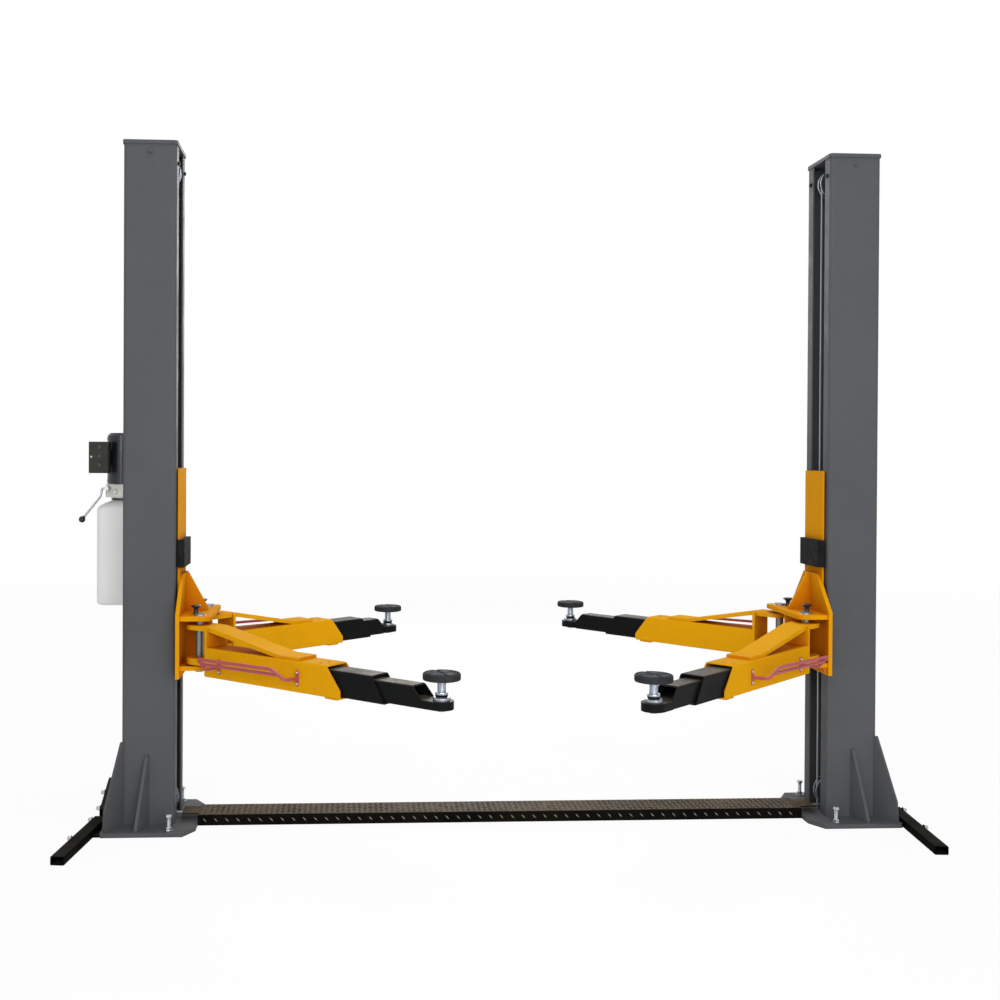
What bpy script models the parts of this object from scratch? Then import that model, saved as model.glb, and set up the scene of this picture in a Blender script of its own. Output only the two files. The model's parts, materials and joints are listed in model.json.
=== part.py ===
"""Two post car lift: columns, floor cover, carriages, four telescoping swing arms and power unit.

Metres, +Z up. The origin lies on the floor midway between the two columns, the columns stand
at -X and +X, and the front of the lift faces -Y.
"""
import math

import bmesh
import bpy
from mathutils import Matrix, Vector

# Columns
INNER_HALF_SPAN = 1.370
COLUMN_DEPTH = 0.216
COLUMN_WIDTH = 0.250
COLUMN_HEIGHT = 2.815
COLUMN_WALL = 0.006
COLUMN_BEND = 0.014
COLUMN_MOUTH = 0.130
CAP_THICKNESS = 0.015
CAP_LIP = 0.004
SEAT_GAP = 0.0003
RUN_GAP = 0.005

# Base plates and their gussets
BASE_THICKNESS = 0.018
BASE_WIDTH = 0.464
BASE_OUTSIDE = 0.068
BASE_INSIDE = 0.090
BASE_CORNER_X = 0.045
BASE_CORNER_Y = 0.075
BASE_OUTER_CORNER = 0.006
SIDE_GUSSET_HEIGHT = 0.342
SIDE_GUSSET_KNEE = 0.102
SIDE_GUSSET_REACH = 0.112
FRONT_GUSSET_HEIGHT = 0.285
FRONT_GUSSET_TURN = 20.0
GUSSET_EDGE = 0.012
GUSSET_THICKNESS = 0.012

# Outriggers beside the base plates
OUTRIGGER_WIDTH = 0.054
OUTRIGGER_HEIGHT = 0.034
OUTRIGGER_WALL = 0.004
OUTRIGGER_ROOT = {"left": (0.030, 0.050), "right": (0.048, 0.050)}
OUTRIGGER_TIP = {"left": (0.090, 0.540), "right": (-0.004, 0.560)}
OUTRIGGER_STRAP = 0.008
STRAP_NEAR = 0.185
STRAP_FAR = 0.224

# Floor cover over the cables
COVER_WIDTH = 0.146
COVER_CENTRE = -0.012
COVER_HEIGHT = 0.045
COVER_SHEET = 0.004
COVER_TONGUE_WIDTH = 0.100
COVER_TONGUE_REACH = 0.070

# Cable and its pulleys
CABLE_RADIUS = 0.004
CABLE_INSET = 0.015
CABLE_LANE = 0.006
PULLEY_GROOVE = 0.0547
PULLEY_RIM = 0.073
PULLEY_THICKNESS = 0.030
PULLEY_FLANGE = 0.003
PULLEY_AXLE = 0.0125
BOTTOM_PULLEY_HEIGHT = 0.094
TOP_PULLEY_HEIGHT = 2.727

# Carriages
CARRIAGE_TOP = 1.485
SLIDER_BOTTOM = 0.760
SLIDER_WALL = 0.008
SLIDER_SIDE_GAP = 0.007
SLIDER_SLOT = 0.060
SLIDER_CHAMFER = 0.0095
WEAR_BAND_HEIGHT = 0.080
WEAR_BAND_INSET = 0.012
NECK_THICKNESS = 0.012
FACE_PLATE_WIDTH = 0.190
FACE_PLATE_THICKNESS = 0.008
BUMPER_BOTTOM = 1.075
BUMPER_TOP = 1.190
BUMPER_THICKNESS = 0.020
BUMPER_WRAP = 0.010
BUMPER_CORNER = 0.009

# Arm bracket on each carriage
BRACKET_BOTTOM = 0.632
BRACKET_SHOULDER = 0.895
BRACKET_PEAK = 1.045
BRACKET_WIDTH = 0.412
BRACKET_PEAK_WIDTH = 0.140
BRACKET_THICKNESS = 0.015
SHELF_WIDTH = 0.400
SHELF_REACH = 0.126
SHELF_CORNER = 0.030
TOP_SHELF_BOTTOM = 0.866
TOP_SHELF_THICKNESS = 0.018
BOTTOM_SHELF_BOTTOM = 0.665
BOTTOM_SHELF_THICKNESS = 0.018
WEB_THICKNESS = 0.014
WEB_SETBACK = 0.033
FOOT_GUSSET_REACH = 0.014

# Arm pivots and lock knobs
PIVOT_OFFSET_X = 0.104
PIVOT_OFFSET_Y = 0.150
PIN_RADIUS = 0.017
PIN_HEAD_RADIUS = 0.024
PIN_HEAD_HEIGHT = 0.007
PIN_TAIL = 0.010
PIN_CLEARANCE = 0.0003
KNOB_BACK = 0.021
KNOB_ASIDE = 0.042
KNOB_RADIUS = 0.019
KNOB_STEM_RADIUS = 0.008
KNOB_HEIGHT = 0.046

# Swing arms
TUBE_START = 0.090
OUTER_SIZE = 0.118
MIDDLE_SIZE = 0.098
INNER_SIZE = 0.078
TUBE_WALL = 0.005
TUBE_CORNER = 0.008
ARM_BOTTOM = 0.650
OUTER_SLANT = 0.070
OUTER_LIP = 0.030
MIDDLE_SLANT = 0.056
MIDDLE_LIP = 0.006
INNER_SLANT = 0.040
INNER_LIP = 0.034
EAR_RADIUS = 0.056
TOP_EAR_BOTTOM = 0.831
TOP_EAR_THICKNESS = 0.018
BOTTOM_EAR_BOTTOM = 0.690
BOTTOM_EAR_THICKNESS = 0.026
BRACE_WIDTH = 0.100
BRACE_THICKNESS = 0.012
BRACE_FOOT_SHARE = 0.61
BRACE_PLATE_LENGTH = 0.103
MOUTH_BAND_LENGTH = 0.058
MOUTH_BAND_SETBACK = 0.022
MOUTH_BAND_THICKNESS = 0.006
TONGUE_THICKNESS = 0.030
TONGUE_BOTTOM = 0.664
TONGUE_WIDTH = 0.087
TONGUE_NECK_WIDTH = 0.072
TONGUE_SHOULDER = 0.004
TONGUE_ROOT = 0.120
PAD_SETBACK = 0.062
WASHER_RADIUS = 0.030
WASHER_HEIGHT = 0.012
COLLAR_RADIUS = 0.022
COLLAR_HEIGHT = 0.017

# Lifting pads
SCREW_RADIUS = 0.0158
SCREW_BOTTOM = 0.656
PAD_TOP = 0.790
PAD_THICKNESS = 0.025
PAD_RADIUS = 0.067
PAD_BEVEL = 0.006

# Foot guards beside the arms: a bent rod, a second rod across it and two straps
GUARD_RADIUS = 0.0065
GUARD_FOLD = (0.182, 0.138, 0.700)
GUARD_TIP = (0.178, 0.176, 0.747)
GUARD_HIGH_BEND = (0.268, 0.139, 0.744)
GUARD_LOW_BEND = (0.209, 0.127, 0.707)
GUARD_CROSSING = 0.55
STRAP_THICKNESS = 0.003
STRAP_HEIGHT = 0.050
GUARD_STRAP_WIDTH = 0.014
GUARD_NEAR_STRAP = 0.176
GUARD_NEAR_STRAP_HEIGHT = 0.700
GUARD_FAR_STRAP_HEIGHT = 0.705

# Power unit behind the left column
UNIT_X = -1.650
UNIT_Y = 0.215
MOTOR_RADIUS = 0.065
MOTOR_BOTTOM = 1.412
MOTOR_TOP = 1.634
PUMP_BOTTOM = 1.354
PUMP_HALF_WIDTH = 0.063
PUMP_HALF_DEPTH = 0.050
NECK_BOTTOM = 1.341
NECK_RADIUS = 0.045
TANK_BOTTOM = 0.888
TANK_HALF_WIDTH = 0.111
TANK_HALF_DEPTH = 0.085
TANK_CORNER = 0.030
TANK_SHOULDER = 0.018
BOX_LOW = (-1.772, 0.098, 1.460)
BOX_SIZE = (0.084, 0.060, 0.135)
BOX_CORNER = 0.003
SADDLE_HEIGHT = 0.070
SADDLE_WIDTH = 0.046
SADDLE_DEPTH = 0.024
MOTOR_CHAMFER = 0.012
PUMP_SHOULDER = 0.010
UNIT_BRACKET_START = 0.020
UNIT_BRACKET_WIDTH = 0.055
UNIT_BRACKET_INSET = 0.006
LEVER_PIVOT = (-1.700, 0.117, 1.395)
LEVER_RADIUS = 0.005
LEVER_REACH_X = -0.103
LEVER_REACH_Z = -0.134
LEVER_HUB_RADIUS = 0.010
LEVER_BALL = 0.014

# Each arm: side, direction from straight across, and how far its stages stand out
ARMS = {
    "front_left": {"side": -1, "end": -1, "angle": 40.0, "mouth": 0.803, "middle": 0.193, "inner": 0.159},
    "rear_left": {"side": -1, "end": 1, "angle": 41.7, "mouth": 0.726, "middle": 0.189, "inner": 0.099},
    "front_right": {"side": 1, "end": -1, "angle": 43.9, "mouth": 0.803, "middle": 0.190, "inner": 0.148},
    "rear_right": {"side": 1, "end": 1, "angle": 48.1, "mouth": 0.726, "middle": 0.184, "inner": 0.194},
}
TUBE_LAP = {-1: (0.400, 0.350), 1: (0.300, 0.290)}

SIDES = {"left": -1, "right": 1}
MESH_TOLERANCE = 0.00001
OVERLAP = 0.001

# Outline planes: where an outline's two directions and its thickness lie in the world
PLAN = Matrix.Identity(4)
SIDE_VIEW = Matrix(((0, 0, 1, 0), (1, 0, 0, 0), (0, 1, 0, 0), (0, 0, 0, 1)))
FRONT_VIEW = Matrix(((1, 0, 0, 0), (0, 0, 1, 0), (0, 1, 0, 0), (0, 0, 0, 1)))

for old in list(bpy.data.objects):
    bpy.data.objects.remove(old)

lift = bpy.data.collections.new("two_post_car_lift")
bpy.context.scene.collection.children.link(lift)


def material(name, colour, roughness, metallic):
    result = bpy.data.materials.new(name)
    result.use_nodes = True
    shader = result.node_tree.nodes["Principled BSDF"]
    shader.inputs["Base Color"].default_value = (*colour, 1.0)
    shader.inputs["Roughness"].default_value = roughness
    shader.inputs["Metallic"].default_value = metallic
    return result


COLUMN_PAINT = material("column_paint", (0.095, 0.097, 0.102), 0.55, 0.0)
CAP_PAINT = material("cap_paint", (0.095, 0.097, 0.102), 0.55, 0.0)
BASE_PAINT = material("base_paint", (0.085, 0.087, 0.092), 0.55, 0.0)
OUTRIGGER_PAINT = material("outrigger_paint", (0.012, 0.012, 0.013), 0.35, 0.0)
COVER_PAINT = material("cover_paint", (0.02, 0.019, 0.018), 0.4, 0.3)
PULLEY_STEEL = material("pulley_steel", (0.03, 0.03, 0.032), 0.4, 0.6)
CABLE_STEEL = material("cable_steel", (0.45, 0.46, 0.48), 0.35, 1.0)
CARRIAGE_PAINT = material("carriage_paint", (0.80, 0.42, 0.012), 0.42, 0.0)
ARM_PAINT = material("arm_paint", (0.80, 0.43, 0.012), 0.42, 0.0)
BUMPER_RUBBER = material("bumper_rubber", (0.015, 0.016, 0.018), 0.7, 0.0)
EXTENSION_PAINT = material("extension_paint", (0.012, 0.012, 0.013), 0.3, 0.0)
PIN_STEEL = material("pin_steel", (0.55, 0.56, 0.58), 0.3, 1.0)
KNOB_PLASTIC = material("knob_plastic", (0.02, 0.022, 0.03), 0.4, 0.0)
SCREW_STEEL = material("screw_steel", (0.55, 0.56, 0.58), 0.35, 1.0)
PAD_RUBBER = material("pad_rubber", (0.013, 0.013, 0.014), 0.75, 0.0)
GUARD_PAINT = material("guard_paint", (0.42, 0.11, 0.12), 0.5, 0.0)
MOTOR_PAINT = material("motor_paint", (0.012, 0.013, 0.015), 0.4, 0.0)
BOX_PAINT = material("box_paint", (0.03, 0.032, 0.022), 0.5, 0.0)
PUMP_METAL = material("pump_metal", (0.6, 0.61, 0.62), 0.35, 1.0)
TANK_PLASTIC = material("tank_plastic", (0.72, 0.73, 0.72), 0.4, 0.0)
LEVER_STEEL = material("lever_steel", (0.03, 0.03, 0.03), 0.4, 0.3)


def add_object(name, mesh):
    obj = bpy.data.objects.new(name, mesh)
    lift.objects.link(obj)
    return obj


def clean(mesh):
    """Weld loose caps and turn every face outwards."""
    shape = bmesh.new()
    shape.from_mesh(mesh)
    bmesh.ops.remove_doubles(shape, verts=shape.verts, dist=MESH_TOLERANCE)
    bmesh.ops.dissolve_degenerate(shape, edges=shape.edges, dist=MESH_TOLERANCE)
    bmesh.ops.recalc_face_normals(shape, faces=shape.faces)
    shape.to_mesh(mesh)
    shape.free()
    return mesh


def evaluated_mesh(obj):
    bpy.context.view_layer.update()
    depsgraph = bpy.context.evaluated_depsgraph_get()
    return bpy.data.meshes.new_from_object(obj.evaluated_get(depsgraph))


def extrude(name, loops, low, high, plane=PLAN):
    """A flat outline, with holes as further loops, made thick from low to high."""
    curve = bpy.data.curves.new(name, "CURVE")
    curve.dimensions = "2D"
    curve.fill_mode = "BOTH"
    curve.extrude = (high - low) / 2
    for loop in loops:
        spline = curve.splines.new("POLY")
        spline.points.add(len(loop) - 1)
        for point, (across, along) in zip(spline.points, loop):
            point.co = (across, along, 0, 1)
        spline.use_cyclic_u = True
    outline = bpy.data.objects.new(name + "_outline", curve)
    lift.objects.link(outline)
    mesh = evaluated_mesh(outline)
    bpy.data.objects.remove(outline)
    mesh.transform(plane @ Matrix.Translation((0, 0, (low + high) / 2)))
    return add_object(name, clean(mesh))


def block(name, low, high):
    corners = [(low[0], low[1]), (high[0], low[1]), (high[0], high[1]), (low[0], high[1])]
    return extrude(name, [corners], low[2], high[2])


def turned(name, profile, segments=20):
    """A solid of revolution about Z from an open profile of radius and height."""
    mesh = bpy.data.meshes.new(name)
    shape = bmesh.new()
    points = [shape.verts.new((radius, 0, height)) for radius, height in profile]
    for pair in zip(points, points[1:]):
        shape.edges.new(pair)
    shape.to_mesh(mesh)
    shape.free()
    obj = add_object(name, mesh)
    screw = obj.modifiers.new("turn", "SCREW")
    screw.steps = segments
    screw.render_steps = segments
    screw.use_merge_vertices = True
    screw.merge_threshold = MESH_TOLERANCE
    solid_mesh = evaluated_mesh(obj)
    obj.modifiers.clear()
    obj.data = clean(solid_mesh)
    return obj


def rod(name, points, radius, cyclic=False, resolution=2):
    """A round bar along points."""
    curve = bpy.data.curves.new(name, "CURVE")
    curve.dimensions = "3D"
    curve.bevel_depth = radius
    curve.bevel_resolution = resolution
    curve.use_fill_caps = True
    spline = curve.splines.new("POLY")
    spline.points.add(len(points) - 1)
    for point, place in zip(spline.points, points):
        point.co = (*place, 1)
    spline.use_cyclic_u = cyclic
    path = bpy.data.objects.new(name + "_path", curve)
    lift.objects.link(path)
    mesh = evaluated_mesh(path)
    bpy.data.objects.remove(path)
    return add_object(name, clean(mesh))


def combine(obj, other, operation="UNION"):
    modifier = obj.modifiers.new("combine", "BOOLEAN")
    modifier.operation = operation
    modifier.solver = "EXACT"
    modifier.object = other
    mesh = evaluated_mesh(obj)
    obj.modifiers.clear()
    obj.data = clean(mesh)
    bpy.data.objects.remove(other)


def cut(obj, cutter):
    combine(obj, cutter, "DIFFERENCE")


def round_edges(obj, width, segments=2, angle=50):
    modifier = obj.modifiers.new("round", "BEVEL")
    modifier.width = width
    modifier.segments = segments
    modifier.limit_method = "ANGLE"
    modifier.angle_limit = math.radians(angle)


def finish(obj, surface, parent=None, smooth_angle=35):
    obj.data.materials.clear()
    obj.data.materials.append(surface)
    obj.data.shade_smooth()
    obj.data.set_sharp_from_angle(angle=math.radians(smooth_angle))
    obj.parent = parent
    return obj


def empty(name, location, parent=None, turn=0.0):
    marker = bpy.data.objects.new(name, None)
    marker.location = location
    marker.rotation_euler.z = turn
    marker.parent = parent
    lift.objects.link(marker)
    return marker


def arc(centre, radius, start, stop, steps):
    """Points on an arc, with angles in degrees."""
    points = []
    for step in range(steps + 1):
        angle = math.radians(start + (stop - start) * step / steps)
        points.append((centre[0] + radius * math.cos(angle), centre[1] + radius * math.sin(angle)))
    return points


def rounded_rectangle(low, high, radius, steps=3):
    points = []
    points += arc((high[0] - radius, high[1] - radius), radius, 0, 90, steps)
    points += arc((low[0] + radius, high[1] - radius), radius, 90, 180, steps)
    points += arc((low[0] + radius, low[1] + radius), radius, 180, 270, steps)
    points += arc((high[0] - radius, low[1] + radius), radius, 270, 360, steps)
    return points


def circle(centre, radius, steps=20):
    return arc(centre, radius, 0, 360 - 360 / steps, steps - 1)


def sided(points, side):
    """Mirror points drawn for the right column over to the side wanted."""
    return [(side * across, along) for across, along in points]


OUTER_FACE = INNER_HALF_SPAN + COLUMN_DEPTH
WEB_INSIDE = OUTER_FACE - COLUMN_WALL
LIP_INSIDE = INNER_HALF_SPAN + COLUMN_WALL
HALF_WIDTH = COLUMN_WIDTH / 2
FLANGE_INSIDE = HALF_WIDTH - COLUMN_WALL
BASE_OUTER = OUTER_FACE + BASE_OUTSIDE
BASE_INNER = INNER_HALF_SPAN - BASE_INSIDE
CABLE_X = INNER_HALF_SPAN + CABLE_INSET
PULLEY_X = CABLE_X + PULLEY_GROOVE + CABLE_RADIUS + SEAT_GAP
CABLE_TURN = PULLEY_GROOVE + CABLE_RADIUS + SEAT_GAP
FACE_BACK = INNER_HALF_SPAN - RUN_GAP
FACE_FRONT = FACE_BACK - FACE_PLATE_THICKNESS
BRACKET_FRONT = FACE_FRONT - BRACKET_THICKNESS
PIVOT_X = INNER_HALF_SPAN - PIVOT_OFFSET_X
SHELF_INNER = BRACKET_FRONT - SHELF_REACH
TOP_SHELF_TOP = TOP_SHELF_BOTTOM + TOP_SHELF_THICKNESS


def column_outline():
    """The folded C section of the right column, its mouth facing the other column."""
    bend, wall, half_mouth = COLUMN_BEND, COLUMN_WALL, COLUMN_MOUTH / 2
    low = (INNER_HALF_SPAN, -HALF_WIDTH)
    high = (OUTER_FACE, HALF_WIDTH)
    inner_bend = bend - wall
    points = [(low[0], -half_mouth)]
    points += arc((low[0] + bend, low[1] + bend), bend, 180, 270, 4)
    points += arc((high[0] - bend, low[1] + bend), bend, 270, 360, 4)
    points += arc((high[0] - bend, high[1] - bend), bend, 0, 90, 4)
    points += arc((low[0] + bend, high[1] - bend), bend, 90, 180, 4)
    points += [(low[0], half_mouth), (low[0] + wall, half_mouth)]
    points += arc((low[0] + bend, high[1] - bend), inner_bend, 180, 90, 4)
    points += arc((high[0] - bend, high[1] - bend), inner_bend, 90, 0, 4)
    points += arc((high[0] - bend, low[1] + bend), inner_bend, 360, 270, 4)
    points += arc((low[0] + bend, low[1] + bend), inner_bend, 270, 180, 4)
    points += [(low[0] + wall, -half_mouth)]
    return points


def build_column(word, side):
    bottom = BASE_THICKNESS + SEAT_GAP
    column = extrude(word + "_column", [sided(column_outline(), side)], bottom, COLUMN_HEIGHT)
    finish(column, COLUMN_PAINT)


def build_cap(word, side):
    low = (INNER_HALF_SPAN - CAP_LIP, -HALF_WIDTH - CAP_LIP)
    high = (OUTER_FACE + CAP_LIP, HALF_WIDTH + CAP_LIP)
    outline = rounded_rectangle(low, high, COLUMN_BEND)
    bottom = COLUMN_HEIGHT + SEAT_GAP
    cap = extrude(word + "_cap", [sided(outline, side)], bottom, bottom + CAP_THICKNESS)
    finish(cap, CAP_PAINT)


def build_base(word, side):
    """The base plate with the gussets that brace the column's foot."""
    half = BASE_WIDTH / 2
    corner = BASE_OUTER_CORNER
    outline = [
        (BASE_INNER, -half + BASE_CORNER_Y),
        (BASE_INNER + BASE_CORNER_X, -half),
        (BASE_OUTER - corner, -half),
        (BASE_OUTER, -half + corner),
        (BASE_OUTER, half - corner),
        (BASE_OUTER - corner, half),
        (BASE_INNER + BASE_CORNER_X, half),
        (BASE_INNER, half - BASE_CORNER_Y),
    ]
    base = extrude(word + "_base", [sided(outline, side)], 0, BASE_THICKNESS)
    root = BASE_THICKNESS - OVERLAP
    corner_x = OUTER_FACE - COLUMN_BEND
    corner_y = HALF_WIDTH - COLUMN_BEND
    turn = math.atan2(half - corner - corner_y, BASE_OUTER - corner - corner_x)
    start = COLUMN_BEND + SEAT_GAP
    side_outline = [
        (start, root),
        (start + SIDE_GUSSET_REACH, root),
        (start + SIDE_GUSSET_REACH - GUSSET_EDGE / 2, SIDE_GUSSET_KNEE),
        (start + GUSSET_EDGE, BASE_THICKNESS + SIDE_GUSSET_HEIGHT),
        (start, BASE_THICKNESS + SIDE_GUSSET_HEIGHT),
    ]
    middle = side * (INNER_HALF_SPAN + OUTER_FACE) / 2
    for face in (-1, 1):
        plate = extrude("side_gusset", [side_outline], -GUSSET_THICKNESS / 2, GUSSET_THICKNESS / 2,
                        FRONT_VIEW)
        heading = math.atan2(face * math.sin(turn), side * math.cos(turn))
        plate.data.transform(Matrix.Translation((side * corner_x, face * corner_y, 0))
                             @ Matrix.Rotation(heading, 4, "Z"))
        combine(base, plate)
        foot = HALF_WIDTH + SEAT_GAP
        toe = half - GUSSET_EDGE
        front_outline = [
            (foot, root),
            (toe, root),
            (toe, BASE_THICKNESS + GUSSET_EDGE),
            (foot + GUSSET_EDGE, BASE_THICKNESS + FRONT_GUSSET_HEIGHT),
            (foot, BASE_THICKNESS + FRONT_GUSSET_HEIGHT),
        ]
        fin = extrude("front_gusset", [[(face * across, up) for across, up in front_outline]],
                      middle - GUSSET_THICKNESS / 2, middle + GUSSET_THICKNESS / 2, SIDE_VIEW)
        lean = Matrix.Identity(4)
        lean[0][1] = side * face * math.tan(math.radians(FRONT_GUSSET_TURN))
        lean[0][3] = -lean[0][1] * face * foot
        fin.data.transform(lean)
        combine(base, fin)
    finish(base, BASE_PAINT)


def build_outrigger(word, side, end_word, end):
    """A flat tube with open ends beside the base plate, and the floor strap that holds it."""
    half = OUTRIGGER_WIDTH / 2
    wall = OUTRIGGER_WALL
    outer = rounded_rectangle((-half, 0), (half, OUTRIGGER_HEIGHT), wall, 2)
    inner = [(-half + wall, wall), (half - wall, wall), (half - wall, OUTRIGGER_HEIGHT - wall),
             (-half + wall, OUTRIGGER_HEIGHT - wall)]
    root = Vector((side * (BASE_OUTER + OUTRIGGER_ROOT[word][0]), end * OUTRIGGER_ROOT[word][1], 0))
    tip = Vector((side * (BASE_OUTER + OUTRIGGER_TIP[word][0]), end * OUTRIGGER_TIP[word][1], 0))
    run = tip - root
    name = "%s_%s_outrigger" % (end_word, word)
    tube = extrude(name, [outer, inner], 0, run.length, FRONT_VIEW)
    turn = Matrix.Rotation(math.atan2(-run.x, run.y), 4, "Z")
    tube.data.transform(Matrix.Translation(root) @ turn)

    def inner_side(along):
        share = (along - abs(root.y)) / (abs(tip.y) - abs(root.y))
        centre = abs(root.x) + share * (abs(tip.x) - abs(root.x))
        return side * (centre - (half - wall / 2) * run.length / abs(run.y))

    seat = side * (BASE_OUTER + SEAT_GAP)
    strap = [
        (seat, end * STRAP_NEAR),
        (inner_side(STRAP_NEAR), end * STRAP_NEAR),
        (inner_side(STRAP_FAR), end * STRAP_FAR),
        (seat, end * STRAP_FAR),
    ]
    combine(tube, extrude("strap", [strap], 0, OUTRIGGER_STRAP))
    finish(tube, OUTRIGGER_PAINT)


def build_cover():
    """The tread plate channel over the cables, with a tongue into each column's mouth."""
    half = COVER_WIDTH / 2
    end = BASE_INNER - SEAT_GAP
    sheet = COVER_SHEET
    outline = [(-half, 0), (-half, COVER_HEIGHT), (half, COVER_HEIGHT), (half, 0), (half - sheet, 0),
               (half - sheet, COVER_HEIGHT - sheet), (-half + sheet, COVER_HEIGHT - sheet),
               (-half + sheet, 0)]
    outline = [(across + COVER_CENTRE, up) for across, up in outline]
    cover = extrude("floor_cover", [outline], -end, end, SIDE_VIEW)
    tongue = COVER_TONGUE_WIDTH / 2
    for side in SIDES.values():
        near = side * (end - OVERLAP)
        far = side * (end + COVER_TONGUE_REACH)
        low = (min(near, far), COVER_CENTRE - tongue, COVER_HEIGHT - sheet)
        high = (max(near, far), COVER_CENTRE + tongue, COVER_HEIGHT)
        combine(cover, block("tongue", low, high))
    finish(cover, COVER_PAINT)


def build_pulley(name, side, height):
    """A grooved wheel on an axle that runs from flange to flange."""
    reach = FLANGE_INSIDE - SEAT_GAP
    half = PULLEY_THICKNESS / 2
    groove = half - PULLEY_FLANGE
    profile = [(0, reach), (PULLEY_AXLE, reach), (PULLEY_AXLE, half), (PULLEY_RIM, half),
               (PULLEY_RIM, groove), (PULLEY_GROOVE, groove), (PULLEY_GROOVE, -groove),
               (PULLEY_RIM, -groove), (PULLEY_RIM, -half), (PULLEY_AXLE, -half),
               (PULLEY_AXLE, -reach), (0, -reach)]
    wheel = turned(name, profile, 24)
    wheel.rotation_euler.x = math.pi / 2
    wheel.location = (side * PULLEY_X, 0, height)
    finish(wheel, PULLEY_STEEL)


def build_cable():
    """One cable from foot to foot, over both top pulleys and under the floor cover."""
    lane = CABLE_LANE
    outer_run = PULLEY_X + CABLE_TURN
    half = [(0, -lane, BOTTOM_PULLEY_HEIGHT - CABLE_TURN)]
    for across, up in arc((PULLEY_X, BOTTOM_PULLEY_HEIGHT), CABLE_TURN, -90, 0, 10):
        half.append((across, -lane, up))
    turn_steps = 20
    for step, (across, up) in enumerate(arc((PULLEY_X, TOP_PULLEY_HEIGHT), CABLE_TURN, 0, 180, turn_steps)):
        half.append((across, lane * (2 * step / turn_steps - 1), up))
    half.append((outer_run - 2 * CABLE_TURN, lane, BASE_THICKNESS + SEAT_GAP))
    points = [(-across, aside, up) for across, aside, up in reversed(half[1:])] + half[1:]
    finish(rod("sync_cable", points, CABLE_RADIUS, resolution=1), CABLE_STEEL)


def slider_outline(inner, outer, half, wall, slot):
    """A box open towards the other column by a slot, its corners chamfered."""
    chamfer = SLIDER_CHAMFER
    return [
        (inner, slot), (inner, half - chamfer), (inner + chamfer, half),
        (outer - chamfer, half), (outer, half - chamfer), (outer, -half + chamfer),
        (outer - chamfer, -half), (inner + chamfer, -half), (inner, -half + chamfer), (inner, -slot),
        (inner + wall, -slot), (inner + wall, -half + wall), (outer - wall, -half + wall),
        (outer - wall, half - wall), (inner + wall, half - wall), (inner + wall, slot),
    ]


def shelf_outline(side):
    half = SHELF_WIDTH / 2
    corner = SHELF_CORNER
    back = BRACKET_FRONT + OVERLAP
    points = [(back, -half)]
    points += arc((SHELF_INNER + corner, -half + corner), corner, 270, 180, 4)
    points += arc((SHELF_INNER + corner, half - corner), corner, 180, 90, 4)
    points += [(back, half)]
    return sided(points, side)


def pivot_circles(side, radius):
    return [circle((side * PIVOT_X, end * PIVOT_OFFSET_Y), radius) for end in (-1, 1)]


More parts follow.
